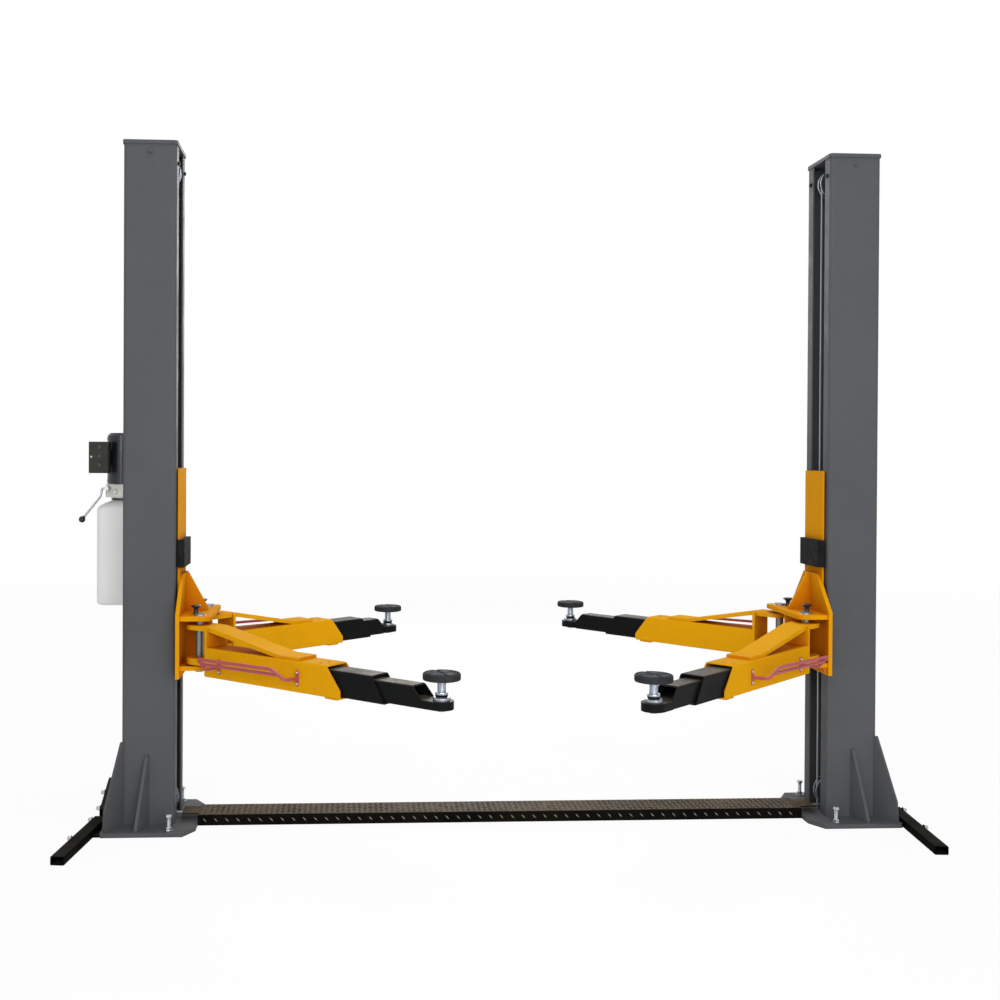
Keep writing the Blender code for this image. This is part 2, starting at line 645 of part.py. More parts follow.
def build_carriage(word, side, parent):
    """Slider box, necks through the column's mouth, face plate and the bracket for two arms."""
    def spread(first, second):
        return min(side * first, side * second), max(side * first, side * second)

    face = spread(FACE_FRONT, FACE_BACK)
    half_face = FACE_PLATE_WIDTH / 2
    carriage = block(word + "_carriage", (face[0], -half_face, BRACKET_BOTTOM + OVERLAP),
                     (face[1], half_face, CARRIAGE_TOP))
    inner = LIP_INSIDE + RUN_GAP
    outer = WEB_INSIDE - RUN_GAP
    half = FLANGE_INSIDE - SLIDER_SIDE_GAP
    slot = SLIDER_SLOT / 2
    box = slider_outline(inner, outer, half, SLIDER_WALL, slot)
    slider = extrude("slider", [sided(box, side)], SLIDER_BOTTOM, CARRIAGE_TOP)
    band_wall = SLIDER_SIDE_GAP + SLIDER_WALL / 2
    ring = slider_outline(LIP_INSIDE + SEAT_GAP, WEB_INSIDE - SEAT_GAP, FLANGE_INSIDE - SEAT_GAP, band_wall,
                          slot + 2 * OVERLAP)
    for low in (SLIDER_BOTTOM + WEAR_BAND_INSET, CARRIAGE_TOP - WEAR_BAND_INSET - WEAR_BAND_HEIGHT):
        combine(slider, extrude("band", [sided(ring, side)], low, low + WEAR_BAND_HEIGHT))
    neck_x = spread(FACE_BACK - OVERLAP, inner + OVERLAP)
    for face_side in (-1, 1):
        neck_y = sorted((face_side * (slot + OVERLAP), face_side * (slot + OVERLAP + NECK_THICKNESS)))
        combine(slider, block("neck", (neck_x[0], neck_y[0], SLIDER_BOTTOM + OVERLAP),
                              (neck_x[1], neck_y[1], CARRIAGE_TOP - OVERLAP)))
    combine(carriage, slider)

    bracket_x = spread(BRACKET_FRONT, FACE_FRONT + OVERLAP)
    wide = BRACKET_WIDTH / 2
    narrow = BRACKET_PEAK_WIDTH / 2
    plate = [(-wide, BRACKET_BOTTOM), (-wide, BRACKET_SHOULDER), (-narrow, BRACKET_PEAK),
             (narrow, BRACKET_PEAK), (wide, BRACKET_SHOULDER), (wide, BRACKET_BOTTOM)]
    combine(carriage, extrude("bracket", [plate], bracket_x[0], bracket_x[1], SIDE_VIEW))
    holes = pivot_circles(side, PIN_RADIUS + PIN_CLEARANCE)
    knobs = [circle((side * (PIVOT_X + KNOB_BACK), end * (PIVOT_OFFSET_Y - KNOB_ASIDE)),
                    KNOB_STEM_RADIUS + PIN_CLEARANCE, 14) for end in (-1, 1)]
    combine(carriage, extrude("top_shelf", [shelf_outline(side)] + holes + knobs, TOP_SHELF_BOTTOM,
                              TOP_SHELF_TOP))
    combine(carriage, extrude("bottom_shelf", [shelf_outline(side)] + holes, BOTTOM_SHELF_BOTTOM,
                              BOTTOM_SHELF_BOTTOM + BOTTOM_SHELF_THICKNESS))
    back = BRACKET_FRONT + OVERLAP
    web = [(back, TOP_SHELF_TOP - OVERLAP), (back, BRACKET_PEAK - OVERLAP),
           (BRACKET_FRONT - GUSSET_EDGE, BRACKET_PEAK - OVERLAP),
           (SHELF_INNER + WEB_SETBACK, TOP_SHELF_TOP + GUSSET_EDGE),
           (SHELF_INNER + WEB_SETBACK, TOP_SHELF_TOP - OVERLAP)]
    combine(carriage, extrude("web", [sided(web, side)], -WEB_THICKNESS / 2, WEB_THICKNESS / 2,
                              FRONT_VIEW))
    shelf_gap = (BOTTOM_SHELF_BOTTOM + BOTTOM_SHELF_THICKNESS - OVERLAP, TOP_SHELF_BOTTOM + OVERLAP)
    core_x = spread(back, SHELF_INNER + WEB_SETBACK / 2)
    combine(carriage, block("core", (core_x[0], -WEB_THICKNESS / 2, shelf_gap[0]),
                            (core_x[1], WEB_THICKNESS / 2, shelf_gap[1])))
    low_shelf = BOTTOM_SHELF_BOTTOM + OVERLAP
    rib = [(back, low_shelf), (back, BRACKET_BOTTOM + OVERLAP), (BRACKET_FRONT, BRACKET_BOTTOM + OVERLAP),
           (BRACKET_FRONT - FOOT_GUSSET_REACH, low_shelf)]
    rib_place = wide - GUSSET_EDGE - WEB_THICKNESS
    for place in (-rib_place, 0, rib_place):
        combine(carriage, extrude("rib", [sided(rib, side)], place - WEB_THICKNESS / 2,
                                  place + WEB_THICKNESS / 2, FRONT_VIEW))
    finish(carriage, CARRIAGE_PAINT, parent)


def build_bumper(word, side, parent):
    """The rubber door guard that wraps the face plate."""
    back = FACE_FRONT - SEAT_GAP
    front = back - BUMPER_THICKNESS
    edge = FACE_PLATE_WIDTH / 2 + SEAT_GAP
    half = edge + BUMPER_WRAP
    corner = BUMPER_CORNER
    outline = [(back, -edge), (FACE_BACK, -edge), (FACE_BACK, -half)]
    outline += arc((front + corner, -half + corner), corner, 270, 180, 3)
    outline += arc((front + corner, half - corner), corner, 180, 90, 3)
    outline += [(FACE_BACK, half), (FACE_BACK, edge), (back, edge)]
    bumper = extrude(word + "_bumper", [sided(outline, side)], BUMPER_BOTTOM, BUMPER_TOP)
    finish(bumper, BUMPER_RUBBER, parent)


def build_pin(name, parent):
    """A pivot pin through both shelves and both ears of an arm, with a round head."""
    top = TOP_SHELF_TOP + SEAT_GAP
    bottom = BOTTOM_SHELF_BOTTOM - PIN_TAIL
    profile = [(0, top + PIN_HEAD_HEIGHT), (PIN_HEAD_RADIUS, top + PIN_HEAD_HEIGHT),
               (PIN_HEAD_RADIUS, top), (PIN_RADIUS, top), (PIN_RADIUS, bottom), (0, bottom)]
    finish(turned(name, profile), PIN_STEEL, parent)


def build_knob(name, parent):
    """A mushroom knob on the stem that locks the arm's swing."""
    top = TOP_SHELF_TOP + KNOB_HEIGHT
    crown = KNOB_RADIUS / 4
    collar = TOP_SHELF_TOP + SEAT_GAP
    profile = [(0, top), (KNOB_RADIUS - crown, top), (KNOB_RADIUS, top - crown),
               (KNOB_RADIUS, top - 2 * crown), (KNOB_STEM_RADIUS, top - KNOB_RADIUS),
               (KNOB_STEM_RADIUS + OVERLAP, collar), (KNOB_STEM_RADIUS, collar),
               (KNOB_STEM_RADIUS, TOP_SHELF_BOTTOM), (0, TOP_SHELF_BOTTOM)]
    finish(turned(name, profile, 14), KNOB_PLASTIC, parent)


def square_tube(name, size, wall, low, start, stop):
    """A hollow square tube along X, centred on Y and standing on the height low."""
    half = size / 2
    outer = rounded_rectangle((-half, low), (half, low + size), TUBE_CORNER, 3)
    inner_corner = max(TUBE_CORNER - wall, wall / 2)
    bore = half - wall
    inner = rounded_rectangle((-bore, low + wall), (bore, low + size - wall), inner_corner, 3)
    return extrude(name, [outer, inner], start, stop, SIDE_VIEW)


def slant_end(tube, stop, low, size, slant, lip):
    """Cut a tube's end at a slant, so that its underside reaches furthest."""
    high = low + size + OVERLAP
    wedge = [(stop - slant, high), (stop + OVERLAP, low + lip), (stop + size, low + lip), (stop + size, high)]
    cut(tube, extrude("slant", [wedge], -size, size, FRONT_VIEW))


def ear_outline(width):
    points = arc((0, 0), EAR_RADIUS, 90, 270, 12)
    root = TUBE_START + OVERLAP
    points += [(root, -width / 2), (root, width / 2)]
    return points


def build_outer_arm(name, mouth, parent):
    """The swinging tube with its ears on the pivot and the brace above."""
    plate_end = TUBE_START + BRACE_THICKNESS
    arm = square_tube(name, OUTER_SIZE, TUBE_WALL, ARM_BOTTOM, plate_end - OVERLAP, mouth)
    slant_end(arm, mouth, ARM_BOTTOM, OUTER_SIZE, OUTER_SLANT, OUTER_LIP)
    half = OUTER_SIZE / 2
    top_ear_top = TOP_EAR_BOTTOM + TOP_EAR_THICKNESS
    end_plate = rounded_rectangle((-half, ARM_BOTTOM), (half, top_ear_top - OVERLAP), TUBE_CORNER, 3)
    combine(arm, extrude("end_plate", [end_plate], TUBE_START, plate_end, SIDE_VIEW))
    hole = circle((0, 0), PIN_RADIUS + PIN_CLEARANCE)
    combine(arm, extrude("top_ear", [ear_outline(BRACE_WIDTH), hole], TOP_EAR_BOTTOM, top_ear_top))
    combine(arm, extrude("bottom_ear", [ear_outline(BRACE_WIDTH), hole], BOTTOM_EAR_BOTTOM,
                         BOTTOM_EAR_BOTTOM + BOTTOM_EAR_THICKNESS))
    tube_top = ARM_BOTTOM + OUTER_SIZE
    foot_top = tube_top + BRACE_THICKNESS
    foot = mouth * BRACE_FOOT_SHARE
    end = foot + BRACE_PLATE_LENGTH
    knee = plate_end + BRACE_THICKNESS / 2
    brace = [
        (TUBE_START + OVERLAP, top_ear_top), (knee, top_ear_top), (foot, foot_top), (end, foot_top),
        (end, tube_top - OVERLAP), (foot - BRACE_THICKNESS, tube_top - OVERLAP),
        (knee, TOP_EAR_BOTTOM), (TUBE_START + OVERLAP, TOP_EAR_BOTTOM),
    ]
    combine(arm, extrude("brace", [brace], -BRACE_WIDTH / 2, BRACE_WIDTH / 2, FRONT_VIEW))
    band_low = ARM_BOTTOM - MOUTH_BAND_THICKNESS
    band_end = mouth - MOUTH_BAND_SETBACK
    combine(arm, block("mouth_band", (band_end - MOUTH_BAND_LENGTH, -half + TUBE_CORNER, band_low),
                       (band_end, half - TUBE_CORNER, ARM_BOTTOM + OVERLAP)))
    finish(arm, ARM_PAINT, parent)


def build_middle(name, start, stop, parent):
    low = ARM_BOTTOM + TUBE_WALL + SEAT_GAP
    tube = square_tube(name, MIDDLE_SIZE, TUBE_WALL, low, start, stop)
    slant_end(tube, stop, low, MIDDLE_SIZE, MIDDLE_SLANT, MIDDLE_LIP)
    finish(tube, EXTENSION_PAINT, parent)


def build_inner(name, start, stop, pad_place, parent):
    """The last tube and the tongue that holds the lifting pad, with its washer and collar."""
    low = ARM_BOTTOM + 2 * (TUBE_WALL + SEAT_GAP)
    tube = square_tube(name, INNER_SIZE, TUBE_WALL, low, start, stop)
    slant_end(tube, stop, low, INNER_SIZE, INNER_SLANT, INNER_LIP)
    half = TONGUE_WIDTH / 2
    neck = TONGUE_NECK_WIDTH / 2
    root = stop - TONGUE_ROOT
    shoulder = stop + TONGUE_SHOULDER
    outline = [(shoulder, half), (shoulder, neck), (root, neck), (root, -neck), (shoulder, -neck),
               (shoulder, -half)]
    outline += arc((pad_place, 0), half, -90, 90, 12)
    hole = circle((pad_place, 0), SCREW_RADIUS + PIN_CLEARANCE)
    tongue_top = TONGUE_BOTTOM + TONGUE_THICKNESS
    washer_top = tongue_top + WASHER_HEIGHT
    combine(tube, extrude("tongue", [outline, hole], TONGUE_BOTTOM, tongue_top))
    combine(tube, extrude("washer", [circle((pad_place, 0), WASHER_RADIUS), hole], tongue_top - OVERLAP,
                          washer_top))
    combine(tube, extrude("collar", [circle((pad_place, 0), COLLAR_RADIUS), hole], washer_top - OVERLAP,
                          washer_top + COLLAR_HEIGHT))
    finish(tube, EXTENSION_PAINT, parent)


def build_pad(name, pad_place, parent):
    """The screw, and the round rubber pad on it."""
    pad_bottom = PAD_TOP - PAD_THICKNESS
    screw_top = pad_bottom - SEAT_GAP
    screw = turned(name + "_screw", [(0, screw_top), (SCREW_RADIUS, screw_top),
                                     (SCREW_RADIUS, SCREW_BOTTOM), (0, SCREW_BOTTOM)])
    rubber = [(0, PAD_TOP), (PAD_RADIUS - PAD_BEVEL, PAD_TOP), (PAD_RADIUS, PAD_TOP - PAD_BEVEL),
              (PAD_RADIUS, pad_bottom), (0, pad_bottom)]
    pad = turned(name + "_pad", rubber, 32)
    for obj, surface in ((screw, SCREW_STEEL), (pad, PAD_RUBBER)):
        finish(obj, surface, parent)
        obj.location.x = pad_place


def build_guard(name, mouth, outside, parent):
    """Two bent rods that stand out beside the arm, on two straps on the tube's outer wall."""
    strap_back = OUTER_SIZE / 2 + SEAT_GAP
    strap_front = strap_back + STRAP_THICKNESS
    root = strap_front - OVERLAP
    far = mouth - GUARD_LOW_BEND[0]
    main = [
        Vector((GUARD_NEAR_STRAP, root, GUARD_NEAR_STRAP_HEIGHT)),
        Vector(GUARD_FOLD),
        Vector(GUARD_TIP),
        Vector((mouth - GUARD_HIGH_BEND[0], *GUARD_HIGH_BEND[1:])),
        Vector((far, *GUARD_LOW_BEND[1:])),
        Vector((far, root, GUARD_FAR_STRAP_HEIGHT)),
    ]
    across = [main[1].lerp(main[2], GUARD_CROSSING), main[3].lerp(main[4], GUARD_CROSSING)]

    def placed(points):
        return [(point.x, outside * point.y, point.z) for point in points]

    loop = rod(name, placed(main), GUARD_RADIUS)
    combine(loop, rod("cross_rod", placed(across), GUARD_RADIUS - OVERLAP / 2))
    sides = sorted((outside * strap_back, outside * strap_front))
    for place, height in ((GUARD_NEAR_STRAP, GUARD_NEAR_STRAP_HEIGHT), (far, GUARD_FAR_STRAP_HEIGHT)):
        low = (place - GUARD_STRAP_WIDTH / 2, sides[0], height - STRAP_HEIGHT / 2)
        high = (place + GUARD_STRAP_WIDTH / 2, sides[1], height + STRAP_HEIGHT / 2)
        combine(loop, block("strap", low, high))
    finish(loop, GUARD_PAINT, parent)


def build_arm(name, arm, carriage):
    side, end = arm["side"], arm["end"]
    place = (side * PIVOT_X, end * PIVOT_OFFSET_Y, 0)
    turn = math.radians(-side * end * arm["angle"])
    if side > 0:
        turn += math.pi
    pin_place = empty(name + "_pin_axis", place, carriage)
    build_pin(name + "_pivot_pin", pin_place)
    knob_at = (side * (PIVOT_X + KNOB_BACK), end * (PIVOT_OFFSET_Y - KNOB_ASIDE), 0)
    build_knob(name + "_lock_knob", empty(name + "_knob_axis", knob_at, carriage))
    pivot = empty(name + "_swing_axis", place, carriage, turn)
    mouth = arm["mouth"]
    middle_end = mouth + arm["middle"]
    inner_end = middle_end + arm["inner"]
    pad_place = inner_end + PAD_SETBACK
    middle_length, inner_length = TUBE_LAP[end]
    build_outer_arm(name + "_arm", mouth, pivot)
    build_guard(name + "_guard", mouth, -side * end, pivot)
    build_middle(name + "_middle_tube", middle_end - middle_length - arm["middle"], middle_end, pivot)
    build_inner(name + "_inner_tube", inner_end - inner_length - arm["inner"], inner_end, pad_place, pivot)
    build_pad(name, pad_place, pivot)


def build_pump_block():
    """The block between motor and tank, with the bracket to the column's rear flange."""
    top = MOTOR_BOTTOM - SEAT_GAP
    pump = block("pump_block", (UNIT_X - PUMP_HALF_WIDTH, UNIT_Y - PUMP_HALF_DEPTH, PUMP_BOTTOM),
                 (UNIT_X + PUMP_HALF_WIDTH, UNIT_Y + PUMP_HALF_DEPTH, top))
    inset = UNIT_BRACKET_INSET
    left = -OUTER_FACE + UNIT_BRACKET_START
    right = left + UNIT_BRACKET_WIDTH
    low = PUMP_BOTTOM + inset
    high = top - PUMP_SHOULDER
    combine(pump, block("bracket", (left, HALF_WIDTH + SEAT_GAP, low), (right, UNIT_Y + 2 * inset, high)))
    combine(pump, block("bracket_root", (UNIT_X + PUMP_HALF_WIDTH - inset, UNIT_Y - 2 * inset, low),
                        (right - OVERLAP, UNIT_Y + 2 * inset - OVERLAP, high - OVERLAP)))
    neck_top = PUMP_BOTTOM + OVERLAP
    neck = turned("neck", [(0, neck_top), (NECK_RADIUS, neck_top), (NECK_RADIUS, NECK_BOTTOM), (0, NECK_BOTTOM)])
    neck.data.transform(Matrix.Translation((UNIT_X, UNIT_Y, 0)))
    combine(pump, neck)
    finish(pump, PUMP_METAL)


def build_control_box():
    """The switch box with a saddle that follows the motor's side."""
    high = [low + size for low, size in zip(BOX_LOW, BOX_SIZE)]
    box = block("control_box", BOX_LOW, high)
    round_edges(box, BOX_CORNER)
    middle = (BOX_LOW[2] + high[2]) / 2
    saddle = block("saddle", (high[0] - SADDLE_WIDTH, high[1] - OVERLAP, middle - SADDLE_HEIGHT / 2),
                   (high[0] - BOX_CORNER, high[1] + SADDLE_DEPTH, middle + SADDLE_HEIGHT / 2))
    combine(box, saddle)
    radius = MOTOR_RADIUS + SEAT_GAP
    hollow = turned("hollow", [(0, high[2]), (radius, high[2]), (radius, BOX_LOW[2]), (0, BOX_LOW[2])], 40)
    hollow.data.transform(Matrix.Translation((UNIT_X, UNIT_Y, 0)))
    cut(box, hollow)
    finish(box, BOX_PAINT)


def build_lever():
    """The lowering lever: a spindle on the pump block's front, a bent rod and a ball."""
    pivot = empty("lever_axis", LEVER_PIVOT)
    back = UNIT_Y - PUMP_HALF_DEPTH - SEAT_GAP - LEVER_PIVOT[1]
    radius = LEVER_HUB_RADIUS
    lever = turned("release_lever", [(0, radius), (radius, radius), (radius, -back), (0, -back)])
    lever.data.transform(Matrix.Rotation(math.pi / 2, 4, "X"))
    combine(lever, rod("shaft", [(0, 0, 0), (LEVER_REACH_X, 0, LEVER_REACH_Z)], LEVER_RADIUS))
    steps = 8
    profile = []
    for step in range(steps + 1):
        angle = math.pi * step / steps
        profile.append((LEVER_BALL * math.sin(angle), LEVER_BALL * math.cos(angle)))
    ball = turned("ball", profile, 14)
    ball.data.transform(Matrix.Translation((LEVER_REACH_X, 0, LEVER_REACH_Z)))
    combine(lever, ball)
    finish(lever, LEVER_STEEL, pivot)


def build_power_unit():
    """Motor, pump block, oil tank, control box and lowering lever."""
    shoulder = MOTOR_TOP - MOTOR_CHAMFER
    profile = [(0, MOTOR_TOP), (MOTOR_RADIUS - MOTOR_CHAMFER, MOTOR_TOP), (MOTOR_RADIUS, shoulder),
               (MOTOR_RADIUS, MOTOR_BOTTOM), (0, MOTOR_BOTTOM)]
    motor = turned("motor", profile, 40)
    motor.location = (UNIT_X, UNIT_Y, 0)
    finish(motor, MOTOR_PAINT)
    build_pump_block()
    outline = rounded_rectangle((UNIT_X - TANK_HALF_WIDTH, UNIT_Y - TANK_HALF_DEPTH),
                                (UNIT_X + TANK_HALF_WIDTH, UNIT_Y + TANK_HALF_DEPTH), TANK_CORNER, 4)
    tank = extrude("oil_tank", [outline], TANK_BOTTOM, NECK_BOTTOM - SEAT_GAP)
    round_edges(tank, TANK_SHOULDER, 3)
    finish(tank, TANK_PLASTIC, smooth_angle=50)
    build_control_box()
    build_lever()


for word, side in SIDES.items():
    build_column(word, side)
    build_cap(word, side)
    build_base(word, side)
    build_outrigger(word, side, "front", -1)
    build_outrigger(word, side, "rear", 1)
    build_pulley(word + "_bottom_pulley", side, BOTTOM_PULLEY_HEIGHT)
    build_pulley(word + "_top_pulley", side, TOP_PULLEY_HEIGHT)
    carriage = empty(word + "_carriage_slide", (0, 0, 0))
    build_carriage(word, side, carriage)
    build_bumper(word, side, carriage)
    for name, arm in ARMS.items():
        if arm["side"] == side:
            build_arm(name, arm, carriage)
build_cover()
build_cable()
build_power_unit()
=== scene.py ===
"""Looks for the two post car lift: paint, rubber, zinc, fasteners, tread plate, threads and a studio."""

import json
import math

import bmesh
import bpy
from mathutils import Matrix, Vector


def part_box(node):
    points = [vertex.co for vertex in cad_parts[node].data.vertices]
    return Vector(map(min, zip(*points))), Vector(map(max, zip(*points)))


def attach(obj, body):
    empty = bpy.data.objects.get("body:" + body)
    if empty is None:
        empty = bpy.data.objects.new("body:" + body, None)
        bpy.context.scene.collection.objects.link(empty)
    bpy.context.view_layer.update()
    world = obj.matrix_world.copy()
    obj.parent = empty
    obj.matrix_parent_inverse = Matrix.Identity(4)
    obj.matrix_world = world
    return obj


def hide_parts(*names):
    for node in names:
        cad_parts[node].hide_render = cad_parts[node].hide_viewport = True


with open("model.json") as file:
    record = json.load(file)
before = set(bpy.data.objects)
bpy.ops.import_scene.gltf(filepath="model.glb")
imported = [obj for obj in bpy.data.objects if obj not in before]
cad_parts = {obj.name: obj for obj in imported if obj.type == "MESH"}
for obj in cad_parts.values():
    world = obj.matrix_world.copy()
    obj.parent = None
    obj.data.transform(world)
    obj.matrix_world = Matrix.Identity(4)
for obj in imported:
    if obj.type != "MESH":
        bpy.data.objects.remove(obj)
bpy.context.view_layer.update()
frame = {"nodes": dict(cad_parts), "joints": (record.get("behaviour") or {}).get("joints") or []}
nodes = frame["nodes"]

SIDES = {"left": -1, "right": 1}
ARM_NAMES = ("front_left", "rear_left", "front_right", "rear_right")

# Camera, for a picture 1000 pixels wide
CAMERA_PLACE = (-0.658, -4.997, 1.550)
CAMERA_YAW = 3.176
CAMERA_PITCH = 0.435
CAMERA_ROLL = -0.297
PICTURE_WIDTH = 1000
FOCAL_PIXELS = 1174.6
CENTRE_PIXEL = (414.5, 462.7)
SENSOR_WIDTH = 36.0

# Bolts on the columns, each as the radius and the thickness of its head
CAP_BOLT = (0.0095, 0.007)
CAP_BOLT_DROP = 0.030
LIP_BOLT = (0.0075, 0.007)
LIP_BOLT_DROP = 0.072
LIP_BOLT_OFFSET = 0.088
BOLT_CROWN_RATIO = 0.84
BOLT_CHAMFER_SHARE = 0.18
WASHER_RATIO = 1.35
WASHER_THICKNESS = 0.0015

# Anchors of the base plates
ANCHOR_RADIUS = 0.008
ANCHOR_ROOT_RATIO = 0.88
ANCHOR_PITCH = 0.0022
ANCHOR_HEAD = 0.013
ANCHOR_HEAD_THICKNESS = 0.010
ANCHOR_HEAD_CROWN = 0.8
ANCHOR_NUT = 0.012
ANCHOR_NUT_CROWN = 0.85
ANCHOR_CHAMFER = 0.002
ANCHOR_WASHER_RATIO = 1.3
ANCHOR_WASHER_THICKNESS = 0.0024
ANCHOR_HEIGHT = 0.064
ANCHOR_PLACE = (1.383, 0.200)

# Outriggers: offset of the centre line from the base plate's edge at two distances from the middle
OUTRIGGER_LINE = {"left": ((0.030, 0.050), (0.090, 0.540)), "right": ((0.048, 0.050), (-0.004, 0.560))}
OUTRIGGER_HALF = 0.0272
OUTRIGGER_BOLTS = (0.080, 0.315)
OUTRIGGER_BOLT = (0.0095, 0.014)
OUTRIGGER_BOLT_HEIGHT = 0.028
OUTRIGGER_BOLT_SINK = 0.0005
OUTRIGGER_WEB = (0.085, 0.1846)
WEB_THICKNESS = 0.008
WEB_BASE_GAP = 0.0004
WEB_OUTRIGGER_GAP = 0.0002

# Tread plate
TREAD_LENGTH = 0.026
TREAD_WIDTH = 0.0062
TREAD_RISE = 0.0013
TREAD_SINK = 0.0002
TREAD_CROWN_SHARE = 0.62
TREAD_STEP = 0.023
TREAD_END_MARGIN = 0.075

# Arm guards, as distance along the arm or back from its mouth, reach outwards, and height
GUARD_RADIUS = 0.0065
GUARD_CROSS_RADIUS = 0.0063
GUARD_NEAR = 0.176
GUARD_FAR = 0.209
GUARD_FOLD = (0.182, 0.138, 0.700)
GUARD_TIP = (0.178, 0.176, 0.747)
GUARD_HIGH_BEND = (0.268, 0.139, 0.744)
GUARD_LOW_BEND = (0.127, 0.707)
GUARD_CROSSING = 0.55
GUARD_CORNER = 0.014
BEND_SHARE = 0.45
GUARD_ROOT_DROP = 0.002
REAR_GUARD_RISE = 0.022
STRAP_FACE = 0.0593
STRAP_THICKNESS = 0.0032
STRAP_HALF_WIDTH = 0.0075
STRAP_HALF_HEIGHT = 0.030
STRAP_END_STEPS = 8
STRAP_BOLT_OFFSET = 0.021
STRAP_BOLT_SINK = 0.0003

# Lifting pads and their screws
PAD_STEPS = 168
PAD_TURN = 16.0
PAD_GROOVE = 0.0038
PAD_GROOVE_STEPS = 2
PAD_RIM_SHARE = 0.88
# The pad's edge, as inset and height from its bottom or inset and depth from its top
PAD_LOW_EDGE = ((0.0060, 0.0), (0.0015, 0.0012), (0.0, 0.0040))
PAD_HIGH_EDGE = ((0.0, 0.0055), (0.0012, 0.0020), (0.0040, 0.0))
# The pad's top, as shares of its radius, with the depth of the sunk ring
PAD_TOP = (0.925, 0.895, 0.865, 0.840, 0.815, 0.790, 0.62, 0.44, 0.28, 0.16)
PAD_SUNK_RING = {0.865: 0.0022, 0.840: 0.0026}
SCREW_RADIUS = 0.0154
SCREW_PITCH = 0.004
SCREW_DEPTH = 0.0008
SCREW_STEPS = 24
SCREW_ROWS_A_TURN = 4
SCREW_PAD_GAP = 0.0004

# Lock knobs on their shelf, pivot pin washers, and button heads back from an arm's mouth and outwards
KNOB_SHELF = 0.0182
KNOB_STEM = 0.0079
WASHER_SINK = 0.0001
ARM_TOP = 0.768
ARM_LOWER_BAND = 0.03
BUTTON_PLACES = ((0.115, 0.030), (0.106, -0.006))
BUTTON_SINK = 0.0002

# Control box, with places as shares of its width and height
KNOCKOUT_ACROSS = 0.55
KNOCKOUT_MIDDLE = 0.55
KNOCKOUT_STEP = 0.28
SWITCH_INSET = 0.012
SWITCH_HEIGHT = 0.52

# Motor bands and the pump's fittings, these as x, z and radius
BAND_LOW = 0.014
BAND_HIGH = 0.026
BAND_HALF = 0.005
BAND_DEPTH = 0.002
BAND_RISE = 0.0016
FITTINGS = ((-1.672, 1.378, 0.011), (-1.636, 1.384, 0.009), (-1.612, 1.372, 0.008))
FITTING_LENGTH = 0.010
FITTING_DEPTH = 0.040

# Oil tank levels, as height from its foot or depth from its top, half width and corner radius
TANK_FOOT = ((0.0, 0.080, 0.020), (0.0025, 0.089, 0.026), (0.009, 0.0955, 0.030), (0.018, 0.0975, 0.031))
TANK_SHOULDER = ((0.040, 0.0975, 0.031), (0.034, 0.0965, 0.031), (0.023, 0.0880, 0.031),
                 (0.013, 0.0720, 0.030), (0.005, 0.0540, 0.030), (0.0005, 0.0420, 0.030))
TANK_FLATTENING = 0.0125
TANK_SPARE = 0.004
TANK_CORNER_STEPS = 8
CLAMP_RADII = (0.0452, 0.0475)
CLAMP_HEIGHT = 0.0085
CLAMP_LIFT = 0.0012

# Lowering lever and the pulleys' flanges
LEVER_HUB = (-1.700, 0.117, 1.395)
LEVER_BENDS = ((-0.019, 0, -0.002), (-0.024, 0, -0.034))
LEVER_BEND_RADIUS = 0.006
LEVER_ROD = 0.0048
LEVER_SPINDLE = 0.0098
LEVER_SPINDLE_PROUD = 0.006
LEVER_BALL = 0.014
BALL_STEPS = 20
BALL_SEAT = 0.0125
FERRULE_RADIUS = 0.0068
FERRULE_LENGTH = 0.005
FERRULE_TAPER = 0.85
PULLEY_EDGE = 0.0118
RIM_DEPTH = 0.0045
RIM_RISE = 0.0003
RIM_WIDTH = 0.0034

# Turned pieces, as (radius, height) pairs, with heights from the floor for the screw seat
KNOCKOUT = [(0, 0), (0.0110, 0), (0.0110, 0.0010), (0.0096, 0.0018), (0.0084, 0.0006), (0, 0.0005)]
SWITCH = [(0, 0), (0.0040, 0), (0.0040, 0.004), (0.0030, 0.006), (0, 0.006)]
DOME = [(0, 0), (0.0056, 0), (0.0054, 0.0016), (0.0040, 0.0031), (0.0018, 0.0037), (0, 0.0038)]
BUTTON = [(0, 0), (0.0068, 0), (0.0064, 0.0018), (0.0040, 0.0030), (0.0034, 0.0030), (0.0030, 0.0008),
          (0, 0.0006)]
PIN_WASHER = [(0.0172, 0), (0.0258, 0), (0.0258, 0.0026), (0.0250, 0.0032), (0.0172, 0.0032), (0.0172, 0)]
SCREW_SEAT = [(0.0161, 0.6941), (0.0309, 0.6941), (0.0314, 0.6975), (0.0306, 0.7050), (0.0270, 0.7072),
              (0.0205, 0.7078), (0.0203, 0.7145), (0.0224, 0.7152), (0.0228, 0.7168), (0.0228, 0.7205),
              (0.0216, 0.7236), (0.0161, 0.7238), (0.0161, 0.6941)]
KNOB_ABOVE_SHELF = [(0.0128, 0.0004), (0.0120, 0.004), (0.0098, 0.010), (0.0090, 0.016), (0.0098, 0.021),
                    (0.0140, 0.0265), (0.0200, 0.0300), (0.0209, 0.0325), (0.0206, 0.0345),
                    (0.0180, 0.0362), (0.0100, 0.0372), (0, 0.0375)]
WELD_DISTANCE = 1e-6

